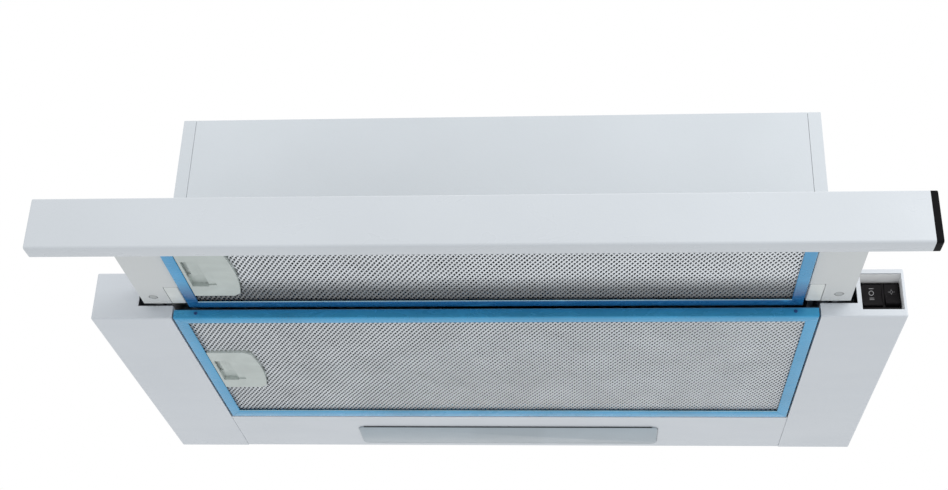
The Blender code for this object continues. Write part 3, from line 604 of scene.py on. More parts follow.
@dataclass(frozen=True)
class MouldedPlastic(Finish):
    """Moulded plastic: a fine sparked grain, flow clouds, and lighter scuffs."""

    roughness: float
    grain_scale: float = 1500.0
    grain_depth: float = 0.03 * MM
    scuffs: float = 0.25
    shine: float = 0.5

    def lay(self, sheet: NodeSheet) -> None:
        """Lay out flow clouds with pale scuff lines, uneven gloss, and the grain."""
        flow = sheet.noise(34.0, 4.0, sheet.stretched((1.0, 1.6, 1.0)), 0.8)
        base = sheet.cloudy(flow, self.colour, 0.93, 1.06)
        lines = sheet.noise(240.0, 6.0, sheet.stretched((1.0, 0.12, 1.0), (8.0, 0.0, 31.0)))
        scuff = sheet.mapped(lines, 0.0, self.scuffs, 0.6, 0.72)
        red, green, blue = (part * 0.8 + 0.12 for part in self.colour)
        sheet.link(sheet.tinted(scuff, base, (red, green, blue)), "Base Color")
        gloss = sheet.noise(90.0, 4.0)
        sheet.link(sheet.mapped(gloss, self.roughness - 0.06, self.roughness + 0.1), "Roughness")
        grain = sheet.noise(self.grain_scale, 2.0)
        sheet.link(sheet.bumped(grain, self.grain_depth, 0.7), "Normal")
        sheet.constants(IOR=1.49, Specular_IOR_Level=self.shine)


@dataclass(frozen=True)
class ProtectiveFilm(Finish):
    """Blue plastic film on aluminium: glossy, with fine creases, ripples and rubbed pale lines.

    Where a painted shade span is given, the film darkens on Y from the span's first place to its
    second: painted shade for the rear of a filter that reaches back into the shadow of the body.
    """

    roughness: float = 0.22
    deep: Colour = (0.008, 0.10, 0.27)
    fade: tuple[float, float] | None = None

    def lay(self, sheet: NodeSheet) -> None:
        """Lay out the drifting blue, its painted shade towards the rear, the rubbed creases, and
        ripples under them.
        """
        drift = sheet.noise(20.0, 4.0, distortion=0.5)
        base = sheet.cloudy(drift, self.colour, 0.86, 1.1, 0.28)
        if self.fade:
            # Painted shade: towards the rear on Y the film turns to the deep shade colour.
            inwards = sheet.mapped(sheet.axis("Y"), 0.0, 1.0, *self.fade)
            base = sheet.tinted(inwards, base, self.deep)
        creases = sheet.noise(130.0, 7.0, sheet.stretched((0.35, 1.0, 1.0), (0.0, 0.0, 24.0)), 1.2)
        rubbed = sheet.mapped(creases, 0.0, 0.4, 0.62, 0.74)
        sheet.link(sheet.tinted(rubbed, base, shaded(self.colour, 1.25)), "Base Color")
        sheet.link(sheet.mapped(creases, self.roughness - 0.07, self.roughness + 0.14), "Roughness")
        ripples = sheet.bumped(sheet.noise(60.0, 3.0), 0.12 * MM, 0.5)
        sheet.link(sheet.bumped(creases, 0.05 * MM, 0.6, ripples), "Normal")
        sheet.constants(Metallic=0.25, IOR=1.5, Specular_IOR_Level=0.4)
        sheet.constants(Coat_Weight=0.25, Coat_Roughness=0.14)


@dataclass(frozen=True)
class BareAluminium(Finish):
    """Bare rolled aluminium: bright, with rolling lines, patches that vary in tone, and at times
    painted shade.

    Where a painted shadow span is given, the metal darkens on Y from the span's first place to its
    second: painted shade for the part that lies in the shadow of the body.
    """

    roughness: float
    metallic: float = 1.0
    line_scale: float = 700.0
    dull: tuple[float, float] | None = None

    def lay(self, sheet: NodeSheet) -> None:
        """Lay out the patches, the painted shade, and the rolling lines."""
        patches = sheet.noise(30.0, 5.0, distortion=0.4)
        base = sheet.cloudy(patches, self.colour, 0.9, 1.05, 0.25)
        if self.dull:
            # Painted shade: the metal darkens towards the rear on Y.
            painted_shadow = sheet.mapped(sheet.axis("Y"), 0.0, 1.0, *self.dull)
            base = sheet.tinted(painted_shadow, base, shaded(self.colour, 0.32))
        sheet.link(base, "Base Color")
        lines = sheet.noise(self.line_scale, 3.0, sheet.stretched((1.0, 0.05, 1.0)))
        sheet.link(sheet.mapped(lines, self.roughness - 0.08, self.roughness + 0.14), "Roughness")
        sheet.link(sheet.bumped(lines, 0.02 * MM, 0.6), "Normal")
        sheet.constants(Metallic=self.metallic)


@dataclass(frozen=True)
class ZincSteel(Finish):
    """Zinc-plated steel: grey spangle in flat grains, faint blue passivation, and white bloom."""

    grain: float = 160.0
    passivation: Colour = (0.42, 0.47, 0.56)
    bloom: Colour = (0.7, 0.7, 0.7)

    def lay(self, sheet: NodeSheet) -> None:
        """Lay out the spangle, the blue veil over it, the bloom, and a fine tooth."""
        grains = sheet.cells(self.grain)
        spangle = sheet.cloudy(grains, self.colour, 0.8, 1.15, 0.1)
        veil = sheet.mapped(sheet.noise(18.0, 4.0), 0.0, 0.35)
        bloomed = sheet.mapped(sheet.noise(300.0, 5.0), 0.0, 0.5, 0.66, 0.76)
        veiled = sheet.tinted(veil, spangle, self.passivation)
        sheet.link(sheet.tinted(bloomed, veiled, self.bloom), "Base Color")
        sheet.link(sheet.mapped(grains, 0.26, 0.5, 0.0, 1.0), "Roughness")
        sheet.link(sheet.bumped(sheet.noise(900.0, 2.0), 0.02 * MM, 0.6), "Normal")
        sheet.constants(Metallic=0.9)


@dataclass(frozen=True)
class MilkyLens(Finish):
    """Milky light diffuser: faint cross ribs inside, and the diode board as a darker zone."""

    rib_turn: float = 2.3 / MM
    board_half: float = 30.0 * MM
    board_blur: float = 4.0 * MM

    def lay(self, sheet: NodeSheet) -> None:
        """Lay out the ribs, a sine wave along X, and the zone in front of the board's middle."""
        x = sheet.axis("X")
        wave = sheet.maths("SINE", sheet.maths("MULTIPLY", x, self.rib_turn))
        aside = sheet.maths("ABSOLUTE", x)
        edge = (self.board_half - self.board_blur, self.board_half + self.board_blur)
        behind = sheet.mapped(aside, 0.10, 0.0, *edge)
        base = sheet.cloudy(sheet.noise(22.0, 4.0), self.colour, 0.92, 1.05)
        lined = sheet.mapped(wave, 0.0, 0.03, 0.0, 1.0)
        ribbed = sheet.tinted(lined, base, shaded(self.colour, 0.6))
        sheet.link(sheet.tinted(behind, ribbed, shaded(self.colour, 0.35)), "Base Color")
        sheet.link(sheet.mapped(sheet.noise(60.0, 2.0), 0.28, 0.36), "Roughness")
        sheet.link(sheet.bumped(wave, 0.01 * MM, 0.05), "Normal")
        sheet.constants(IOR=1.49, Coat_Weight=0.3, Coat_Roughness=0.2)


@dataclass(frozen=True)
class PrintedInk(Finish):
    """Pad-printed ink: matt, thin at its edges and slightly worn."""

    def lay(self, sheet: NodeSheet) -> None:
        """Lay out one worn pattern for the colour, the gloss and the thickness."""
        worn = sheet.noise(2600.0, 3.0)
        stops = [(0.35, shaded(self.colour, 0.55)), (0.6, self.colour)]
        sheet.link(sheet.ramp(worn, stops), "Base Color")
        sheet.link(sheet.mapped(worn, 0.6, 0.42), "Roughness")
        sheet.link(sheet.bumped(worn, 0.02 * MM, 0.6), "Normal")


@dataclass(frozen=True)
class CircuitBoard(Finish):
    """White solder mask with the weave of the board and the tracks showing through."""

    def lay(self, sheet: NodeSheet) -> None:
        """Lay out the tracks, which are cells drawn out along X, and the weave."""
        tracks = sheet.cells(220.0, sheet.stretched((0.25, 1.0, 1.0)))
        stops = [(0.45, self.colour), (0.55, shaded(self.colour, 0.86))]
        sheet.link(sheet.ramp(tracks, stops), "Base Color")
        weave = sheet.noise(1800.0, 2.0)
        sheet.link(sheet.mapped(weave, 0.35, 0.55), "Roughness")
        sheet.link(sheet.bumped(weave, 0.02 * MM, 0.5), "Normal")


@dataclass(frozen=True)
class StudioSweep(Finish):
    """Pale matt studio paper with a faint tooth."""

    def lay(self, sheet: NodeSheet) -> None:
        """Lay out the tooth in the colour and the gloss."""
        tooth = sheet.noise(45.0, 4.0)
        sheet.link(sheet.cloudy(tooth, self.colour, 0.985, 1.0), "Base Color")
        sheet.link(sheet.mapped(tooth, 0.75, 0.9), "Roughness")


class FinishRack:
    """Every finish of the hood, built once."""

    def __init__(self) -> None:
        """Build the finishes."""
        coat, plastic, film, metal = PowderCoat, MouldedPlastic, ProtectiveFilm, BareAluminium
        self.case_paint = coat("case_paint", (0.58, 0.62, 0.655)).material()
        self.body_paint = coat("body_paint", (0.565, 0.60, 0.64)).material()
        self.fascia_paint = coat("fascia_paint", (0.55, 0.585, 0.62), 0.3).material()
        self.arm_paint = coat("arm_paint", (0.57, 0.595, 0.60), 0.4).material()
        # The switch pocket's paint is lighter than the body's: painted light against the shade in
        # the recess.
        self.lightened_pocket_paint = coat("lightened_pocket_paint", (0.80, 0.81, 0.82), 0.45).material()
        # The arm screws' paint is a darker copy of the arm's: painted shade for the dimple round
        # each screw.
        self.screw_shadow_paint = coat("screw_shadow_paint", (0.40, 0.42, 0.42), 0.4).material()
        self.white_plastic = plastic("white_moulding", (0.63, 0.66, 0.65), 0.42).material()
        self.handle_plastic = plastic(
            "handle_moulding", (0.47, 0.52, 0.50), 0.42, scuffs=0.1
        ).material()
        self.black_plastic = plastic(
            "black_moulding", (0.005, 0.005, 0.006), 0.5, scuffs=0.01, shine=0.05
        ).material()
        self.switch_plastic = plastic(
            "switch_moulding", (0.008, 0.007, 0.008), 0.5,
            grain_scale=2600.0, grain_depth=0.02 * MM, scuffs=0.01, shine=0.1,
        ).material()
        # A near-black strip finish: painted shade for the gap at the lens's front edge.
        self.gap_shade_plastic = plastic("lens_gap_shade_strip", (0.02, 0.028, 0.032), 0.7).material()
        self.film = film("filter_film", (0.04, 0.31, 0.56)).material()
        # The sliding filter's film is painted darker towards its rear bar: painted shade.
        self.tray_film = film(
            "tray_filter_film", (0.035, 0.29, 0.55), fade=(-318 * MM, -296 * MM)
        ).material()
        # A paler copy of the blue film for the beads: painted highlight on their rounded edge.
        self.bead_highlight_film = film("bead_highlight_film", (0.30, 0.50, 0.60)).material()
        self.rivet_film = film("rivet_film", (0.012, 0.06, 0.20)).material()
        self.front_mesh = metal("mesh_metal", (0.69, 0.72, 0.75), 0.45, 0.3).material()
        # The sliding filter's mesh is painted darker towards its rear: painted shade.
        self.tray_mesh = metal(
            "tray_mesh_metal", (0.80, 0.83, 0.86), 0.45, 0.3, dull=(-322 * MM, -300 * MM)
        ).material()
        # The inner sheet is the same aluminium painted dark: painted shade in the holes behind the
        # front sheet.
        self.shaded_inner_mesh = metal("inner_mesh_metal", (0.22, 0.235, 0.25), 0.5, 0.35).material()
        # The foil behind the mesh is painted near black: painted shade in the holes.
        self.shade_foil = metal("shade_foil_metal", (0.10, 0.11, 0.12), 0.6, 0.4, 260.0).material()
        self.zinc = ZincSteel("zinc_plate", (0.55, 0.56, 0.58)).material()
        self.lens = MilkyLens("lamp_diffuser_plastic", (0.32, 0.38, 0.425)).material()
        self.ink = PrintedInk("switch_ink", (0.30, 0.30, 0.31)).material()
        self.diode = PrintedInk("diode_phosphor", (0.85, 0.78, 0.35)).material()
        self.board = CircuitBoard("board_mask", (0.72, 0.74, 0.70)).material()


# Casing


@dataclass
class Casing:
    """The upper case and the lower body with everything fixed in them."""

    rack: FinishRack
    screw_radius: float = 3.2 * MM
    screw_height: float = 1.5 * MM
    recess_half: float = 0.5 * MM
    recess_depth: float = 0.9 * MM
    recess_share: float = 0.58
    dome_share: float = 0.86
    top_screw_inset: float = 9.0 * MM
    top_screw_count: int = 4
    collar_screw_inset: float = 4.2 * MM
    collar_flange: float = 2.0 * MM

    def dress(self) -> None:
        """Give the casing's fixed CAD nodes their finishes."""
        rack = self.rack
        dress_nodes(rack.case_paint, "case_wrap", "front_panel", "top_panel", "front_cross_rail")
        dress_nodes(rack.body_paint, "cheek_left", "cheek_right", "rear_lamp_panel")
        # The pocket gets the lightened paint: painted light in the recess.
        dress_nodes(rack.lightened_pocket_paint, "switch_pocket")
        dress_nodes(
            rack.zinc, "slide_rail_left", "slide_rail_right", "lamp_tray", "fan_motor",
            "motor_bracket", "capacitor_clip", "flap_pin", "motor_shaft",
        )
        dress_nodes(
            rack.white_plastic, "led_driver", "run_capacitor", "terminal_box", "terminal_lid"
        )
        dress_nodes(
            rack.black_plastic, "blower_scroll", "inlet_ring", "fan_impeller", "cable_gland",
            "outlet_collar", "flap_front", "flap_rear",
        )
        dress_nodes(rack.board, "led_board")

    def screw_head(self, centre: Sequence[float], turn: float) -> Shell:
        """A pan head with a cross recess, standing on an upward face.

        The height over the polar grid is a round dome less a smooth trough along two crossed lines,
        which ends before the rim. The grid's first ring closes on a flat face at the middle.

        Args:
            centre: Middle of the head's foot.
            turn: Turn of the cross, in degrees.

        Returns:
            The closed head.
        """
        steps = 24
        share = np.array([0.06, 0.25, 0.4, 0.55, 0.75, 0.92, 1.0, 1.0])
        angle = np.linspace(0, 2 * np.pi, steps, endpoint=False)
        x = share[:, None] * np.cos(angle) * self.screw_radius
        y = share[:, None] * np.sin(angle) * self.screw_radius
        dome = np.sqrt(1 - (share * self.dome_share) ** 2)[:, None] * self.screw_height
        c, s = math.cos(math.radians(turn)), math.sin(math.radians(turn))
        across, along = x * c + y * s, y * c - x * s
        arm = np.minimum(np.abs(across), np.abs(along))
        inside = share[:, None] < self.recess_share
        height = dome - self.recess_depth * np.exp(-((arm / self.recess_half) ** 4)) * inside
        height[-1] = 0.0
        rings = np.stack([x + centre[0], y + centre[1], height + centre[2]], axis=-1)
        return carried(rings)

    def make_screws(self) -> None:
        """Self-tapping screws round the top panel's edge and on the duct collar's flange."""
        low, high = corners_of("top_panel")
        inset, top = self.top_screw_inset, high[2]
        places = [
            (x, y)
            for x in np.linspace(low[0] + inset, high[0] - inset, self.top_screw_count)
            for y in (low[1] + inset, high[1] - inset)
        ]
        heads = [self.screw_head((*place, top), 17.0 * i) for i, place in enumerate(places)]
        ring_low, ring_high = corners_of("outlet_collar")
        middle = (ring_low + ring_high) / 2
        reach = (ring_high[0] - ring_low[0]) / 2 - self.collar_screw_inset
        flange = ring_low[2] + self.collar_flange
        for index, place in enumerate(arc(middle, reach, 45, 315, 3)):
            heads.append(self.screw_head((*place, flange), 25.0 * index))
        make_piece("top_screws", joined(heads), self.rack.zinc, "casing")


@dataclass
class Lamp:
    """The lamp in the rear underside panel: a round-cornered lens, a dark strip painted as the
    shadow of the gap at its front edge, and diodes.
    """

    rack: FinishRack
    corner: float = 5.0 * MM
    chamfer: float = 0.6 * MM
    proud: float = 1.2 * MM
    rim: float = 4.0 * MM
    ease: float = 0.3 * MM
    shade_strip: float = 0.45 * MM
    shade_strip_gap: float = 0.05 * MM
    shade_strip_rise: float = 0.15 * MM
    diodes: int = 18
    diode_margin: float = 8.0 * MM

    def rounded_plan(self, low: Array, high: Array, inset: float, corner: float) -> Array:
        """A rectangle with four quarter-round corners.

        Args:
            low: Its lowest corner.
            high: Its highest corner.
            inset: How far it is drawn in on every side.
            corner: Corner radius before it is drawn in.

        Returns:
            The plan's points.
        """
        radius = corner - inset
        (x0, y0), (x1, y1) = low[:2] + corner, high[:2] - corner
        middles = ((x1, y1), (x0, y1), (x0, y0), (x1, y0))
        corners = [arc(xy, radius, 90 * i, 90 * (i + 1), 6) for i, xy in enumerate(middles)]
        return np.concatenate(corners)

    def make_lens(self) -> None:
        """The lens: its plan carried down from the flange to the face, drawn in for the chamfer."""
        low, high = corners_of("lamp_lens")
        face, flange = low[2], low[2] + self.proud - self.ease
        steps = [
            (high[2] - 2 * self.ease, self.rim + 2 * self.ease),
            (flange, self.rim + self.ease),
            (flange, 0.0),
            (face + self.chamfer, 0.0),
            (face + 0.3 * self.chamfer, 0.3 * self.chamfer),
            (face, self.chamfer),
        ]
        rings = []
        for height, inset in steps:
            plan = self.rounded_plan(low, high, inset, self.corner + self.rim * (inset > self.rim))
            rings.append(np.column_stack([plan, np.full(len(plan), height)]))
        shell = carried(np.stack(rings))
        make_piece("lens_body", shell, self.rack.lens, "casing", ["lamp_lens"])

        # A dark strip along the lens's front edge: painted shade for the gap there.
        strip = cuboid(
            (low[0] + self.corner, low[1] - self.shade_strip_gap - self.shade_strip, face + self.shade_strip_rise),
            (high[0] - self.corner, low[1] - self.shade_strip_gap, flange),
        )
        make_piece("lens_gap_shade", strip, self.rack.gap_shade_plastic, "casing")

    def make_diodes(self) -> None:
        """A row of small square diodes under the board, each a block with a drawn-in face."""
        low, high = corners_of("led_board")
        middle, under = (low[1] + high[1]) / 2, low[2]
        chips = []
        drops = np.array([0.0, 0.5, 0.7])[:, None] * MM
        halves = np.array([1.4, 1.4, 1.1])[:, None] * MM
        for x in np.linspace(low[0] + self.diode_margin, high[0] - self.diode_margin, self.diodes):
            place = (x + halves * (-1, 1, 1, -1), middle + halves * (-1, -1, 1, 1), under - drops)
            chips.append(carried(np.stack(np.broadcast_arrays(*place), axis=-1)))
        make_piece("lamp_diodes", joined(chips), self.rack.diode, "casing")


@dataclass
class Switches:
    """The fan and lamp rockers with their printed symbols."""

    rack: FinishRack
    tip: float = -6.6 * MM
    dish: float = -4.6 * MM
    half_height: float = 7.9 * MM
    pivot_depth: float = 13.0 * MM
    pivot_height: float = 20.2 * MM
    lamp_tilt: float = -8.0
    ink_height: float = 0.09 * MM
    ink_depth: float = -0.05 * MM
    bar_length: float = 3.3 * MM
    bar_width: float = 0.44 * MM
    ring_radius: float = 1.615 * MM

    def dress(self) -> None:
        """Give the switch's CAD nodes their plastic."""
        dress_nodes(self.rack.switch_plastic, "switch_housing", "fan_rocker", "lamp_rocker")

    def on_face(self, x: float, flat: Array, upper: bool, tilt: float) -> Array:
        """Lay symbol points on one of a rocker's two sloping facets.

        A point goes across by its first value, up along the facet's slope from the dish line by its
        second, which is below zero on the lower facet, and out along the facet's normal by its
        third. The whole facet is then turned about the pivot by the rocker's tilt.

        Args:
            x: X of the symbol's middle.
            flat: Points as (across, up the facet, out of it).
            upper: Lay them on the upper facet.
            tilt: The rocker's tilt in degrees.

        Returns:
            The points in world coordinates.
        """
        sign = 1.0 if upper else -1.0
        slope = np.array([self.tip - self.dish, sign * self.half_height])
        slope /= np.linalg.norm(slope)
        normal = np.array([-abs(slope[1]), sign * slope[0]])
        y = self.dish + flat[..., 1] * slope[0] * sign + flat[..., 2] * normal[0]
        z = flat[..., 1] * slope[1] * sign + flat[..., 2] * normal[1]
        c, s = math.cos(math.radians(tilt)), math.sin(math.radians(tilt))
        body_low, _ = corners_of("cheek_right")
        pivot_y, pivot_z = body_low[1] + self.pivot_depth, body_low[2] + self.pivot_height
        place = (x + flat[..., 0], pivot_y + y * c - z * s, pivot_z + y * s + z * c)
        return np.stack(place, axis=-1)

    def bar(self, x: float, height: float, length: float, width: float, tilt: float) -> Shell:
        """A printed stroke: a thin block on the facet.

        Args:
            x: X of its middle.
            height: Its middle above the dish line.
            length: Length across the rocker.
            width: Width up the facet.
            tilt: The rocker's tilt in degrees.

        Returns:
            The stroke.
        """
        across = length / 2 * np.array([-1, 1, 1, -1])
        up = height + width / 2 * np.array([-1, -1, 1, 1])
        out = (self.ink_depth, self.ink_height)
        rings = [np.column_stack([across, up, np.full(4, level)]) for level in out]
        return carried(self.on_face(x, np.stack(rings), height > 0, tilt))

    def ring(
        self, x: float, height: float, radius: float, width: float, sides: int, tilt: float
    ) -> Shell:
        """A printed ring or diamond: a square section carried round a polygon.

        Args:
            x: X of its middle.
            height: Its middle above the dish line.
            radius: Radius to the middle of the line.
            width: Width of the line.
            sides: Number of sides; four makes a diamond.
            tilt: The rocker's tilt in degrees.

        Returns:
            The ring.
        """
        angle = np.linspace(0, 2 * np.pi, sides, endpoint=False)[:, None]
        reach = radius + width / 2 * np.array([-1, 1, 1, -1])
        out = np.repeat([self.ink_depth, self.ink_height], 2)
        flat = (reach * np.cos(angle), height + reach * np.sin(angle), out)
        points = np.stack(np.broadcast_arrays(*flat), axis=-1)
        return looped(self.on_face(x, points, height > 0, tilt))

    def make_symbols(self) -> None:
        """A ring and three strokes on the fan rocker, and a rayed diamond on the lamp rocker."""
        low, high = corners_of("fan_rocker")
        x = (low[0] + high[0]) / 2 - 0.2 * MM
        heights = (5.3 * MM, -2.1 * MM, -3.5 * MM)
        strokes = [self.bar(x, at, self.bar_length, self.bar_width, 0.0) for at in heights]
        strokes.append(self.ring(x, 2.0 * MM, self.ring_radius, self.bar_width, 24, 0.0))
        make_piece("fan_symbols", joined(strokes), self.rack.ink, "fan_rocker")

        low, high = corners_of("lamp_rocker")
        x, height, ray = (low[0] + high[0]) / 2, 2.3 * MM, 0.26 * MM
        marks = [self.ring(x, height, 1.3 * MM, 0.32 * MM, 4, self.lamp_tilt)]
        for side in (-1, 1):
            aside, rise = side * 1.95 * MM, side * 1.8 * MM
            marks.append(self.bar(x + aside, height, 0.6 * MM, ray, self.lamp_tilt))
            marks.append(self.bar(x, height + rise, ray, 0.4 * MM, self.lamp_tilt))
        make_piece("lamp_symbol", joined(marks), self.rack.ink, "lamp_rocker")


# Tray


@dataclass
class Tray:
    """The pull-out tray: the fascia's folded skin, its two ends, and the painted arms."""

    rack: FinishRack
    wall: float = 1.2 * MM
    soft_radius: float = 2.0 * MM
    small_radius: float = 1.5 * MM
    lower_lip: float = 7.0 * MM
    upper_lip: float = 4.5 * MM
    plate_edge: float = 0.5 * MM
    cap_edge: float = 0.9 * MM

    def around(self, low: Array, high: Array, inset: float) -> Array:
        """The fascia's end outline in Y and Z, drawn in by an amount.

        Args:
            low: Lowest corner of the fascia.
            high: Highest corner of the fascia.
            inset: How far the outline is drawn in.

        Returns:
            Points from the lower rear corner round the front to the upper rear corner.
        """
        big, small = self.soft_radius, self.small_radius
        front, back, bottom, top = low[1], high[1], low[2], high[2]
        return np.concatenate(
            [
                arc((back - small, bottom + small), small - inset, 0, -90, 5),
                arc((front + big, bottom + big), big - inset, 270, 180, 14),
                arc((front + small, top - small), small - inset, 180, 90, 7),
                arc((back - small, top - small), small - inset, 90, 0, 5),
            ]
        )

    def across(self, outline: Array, places: Sequence[float]) -> Array:
        """Copies of a Y, Z outline at several X places.

        Args:
            outline: The outline.
            places: The X places.

        Returns:
            Rings of points.
        """
        return np.stack([np.column_stack([np.full(len(outline), x), outline]) for x in places])

    def make_fascia(self) -> None:
        """The folded front: outer outline, two lips and inner outline, carried along X."""
        low, high = corners_of("tray_fascia")
        outer, inner = self.around(low, high, 0.0), self.around(low, high, self.wall)[::-1]
        back, bottom, top = high[1], low[2] + self.lower_lip, high[2] - self.upper_lip
        inside = back - self.wall
        parts = [[(back, bottom)], outer, [(back, top), (inside, top)], inner, [(inside, bottom)]]
        outline = np.concatenate(parts)
        left, right = corners_of("fascia_end_plate")[1][0], corners_of("fascia_end_cap")[0][0]
        shell = carried(self.across(outline, (left, right)))
        paint = self.rack.fascia_paint
        make_piece("fascia_skin", shell, paint, "tray", ["tray_fascia"])

    def make_end(
        self,
        node: str,
        name: str,
        side: Side,
        soft: float,
        material: bpy.types.Material,
        slot: str,
    ) -> None:
        """An end piece: the fascia's outline carried outwards and rounded in at its face.

        Args:
            node: The CAD node that it stands for.
            name: Its name.
            side: The end it is on.
            soft: Radius of its outer edge.
            material: Its finish.
            slot: Its material slot; not used.
        """
        low, high = corners_of(node)
        inner_x, outer_x = (high[0], low[0]) if side is Side.LEFT else (low[0], high[0])
        rings = [self.across(self.around(low, high, 0.0), [inner_x])]
        for angle in np.radians(np.linspace(0, 90, 5)):
            line = self.around(low, high, soft * (1 - math.cos(angle)))
            rings.append(self.across(line, [outer_x - side.value * soft * (1 - math.sin(angle))]))
        make_piece(name, carried(np.concatenate(rings)), material, "tray", [node])

    def build(self) -> None:
        """Make the tray's pieces and dress its CAD nodes."""
        rack = self.rack
        self.make_fascia()
        left = (Side.LEFT, self.plate_edge, rack.fascia_paint, "white_paint")
        right = (Side.RIGHT, self.cap_edge, rack.black_plastic, "black_plastic")
        self.make_end("fascia_end_plate", "fascia_left_end", *left)
        self.make_end("fascia_end_cap", "fascia_right_end", *right)
        dress_nodes(rack.arm_paint, "tray_arm_left", "tray_arm_right")
        # Painted shade: the arm screws take a darker copy of the arm's paint.
        dress_nodes(rack.screw_shadow_paint, "arm_screw_left", "arm_screw_right")
        dress_nodes(rack.white_plastic, "glide_block_left", "glide_block_right")
        dress_nodes(rack.zinc, "tray_cross_bar", "tray_runner_left", "tray_runner_right")


# Filters


@dataclass
class ExpandedMesh:
    """Expanded aluminium: zigzag ribbons along Y that lean over and meet at their knuckles."""

    short_pitch: float = 3.6 * MM
    long_pitch: float = 6.3 * MM
    ribbon: float = 1.28 * MM
    metal: float = 0.3 * MM
    lean: float = -16.0
    pillow: float = 0.1 * MM
    pillow_length: float = 47.0 * MM
    pillow_width: float = 39.0 * MM
    wander: float = 0.12 * MM
    wander_length: float = 83.0 * MM
    wander_turn: float = 9.0 / MM
    phase: float = 0.0

    def shell(
        self, x_span: tuple[float, float], fronts: Outline, rears: Outline, level: float
    ) -> Shell:
        """The ribbons of one rectangle of mesh.

        A ribbon stands at every half of the short pitch, and its middle swings a quarter pitch to
        either side in a triangle wave of the long pitch along Y, the other way round on every
        second ribbon. Its section is a thin rectangle that leans over, and slow sine waves push
        the sheet aside and lift it. A knuckle past the ribbon's end is drawn back to the end, and
        the faces that this flattens are left out.

        Args:
            x_span: First and last X.
            fronts: Front end in Y of the ribbons at given X.
            rears: Rear end in Y of the ribbons at given X.
            level: Height of the sheet's middle.

        Returns:
            All the ribbons.
        """
        half_short, half_long = self.short_pitch / 2, self.long_pitch / 2
        count = round((x_span[1] - x_span[0]) / half_short)
        middles = x_span[0] + (np.arange(count) + 0.5) * half_short
        starts, ends = fronts(middles), rears(middles)
        first = math.floor(float(starts.min()) / half_long) * half_long - half_long
        knuckles = np.arange(first, float(ends.max()) + 2 * half_long, half_long)
        y = np.clip(knuckles[None, :], starts[:, None], ends[:, None])
        step = ((y + self.phase) / half_long) % 2.0
        swing = 1.0 - 2.0 * np.abs(step - 1.0)
        side = np.where(np.arange(count) % 2 == 0, 1.0, -1.0)[:, None]
        drift = 2 * np.pi * y / self.wander_length + self.wander_turn * self.phase
        x = middles[:, None] + side * swing * half_short / 2 + self.wander * np.sin(drift)
        swell = np.sin(2 * np.pi * y / self.pillow_width + 0.7)
        z = level + self.pillow * np.sin(2 * np.pi * x / self.pillow_length) * swell
        angle = math.radians(self.lean)
        along = np.array([math.cos(angle), math.sin(angle)]) * self.ribbon / 2
        thick = np.array([-math.sin(angle), math.cos(angle)]) * self.metal / 2
        offsets = np.stack([-along - thick, along - thick, along + thick, -along + thick])
        points = np.empty((count, len(knuckles), 4, 3))
        points[..., 0] = x[..., None] + offsets[:, 0]
        points[..., 1] = y[..., None]
        points[..., 2] = z[..., None] + offsets[:, 1]

        number = np.arange(count * len(knuckles) * 4).reshape(count, len(knuckles), 4)
        ring, after = number[:, :-1], number[:, 1:]
        beside, beyond = np.roll(ring, -1, axis=2), np.roll(after, -1, axis=2)
        walls = np.stack([ring, beside, beyond, after], axis=-1)[np.diff(y, axis=1) > SHORTEST]
        begin = (knuckles[None, :] <= starts[:, None]).sum(axis=1) - 1
        finish = len(knuckles) - (knuckles[None, :] >= ends[:, None]).sum(axis=1)
        rows = np.arange(count)
        ends_of_ribbons = [number[rows, begin][:, ::-1], number[rows, finish]]
        quads = np.concatenate([walls.reshape(-1, 4), *ends_of_ribbons])
        used, packed = np.unique(quads, return_inverse=True)
        return Shell(points.reshape(-1, 3)[used], packed.reshape(-1, 4))


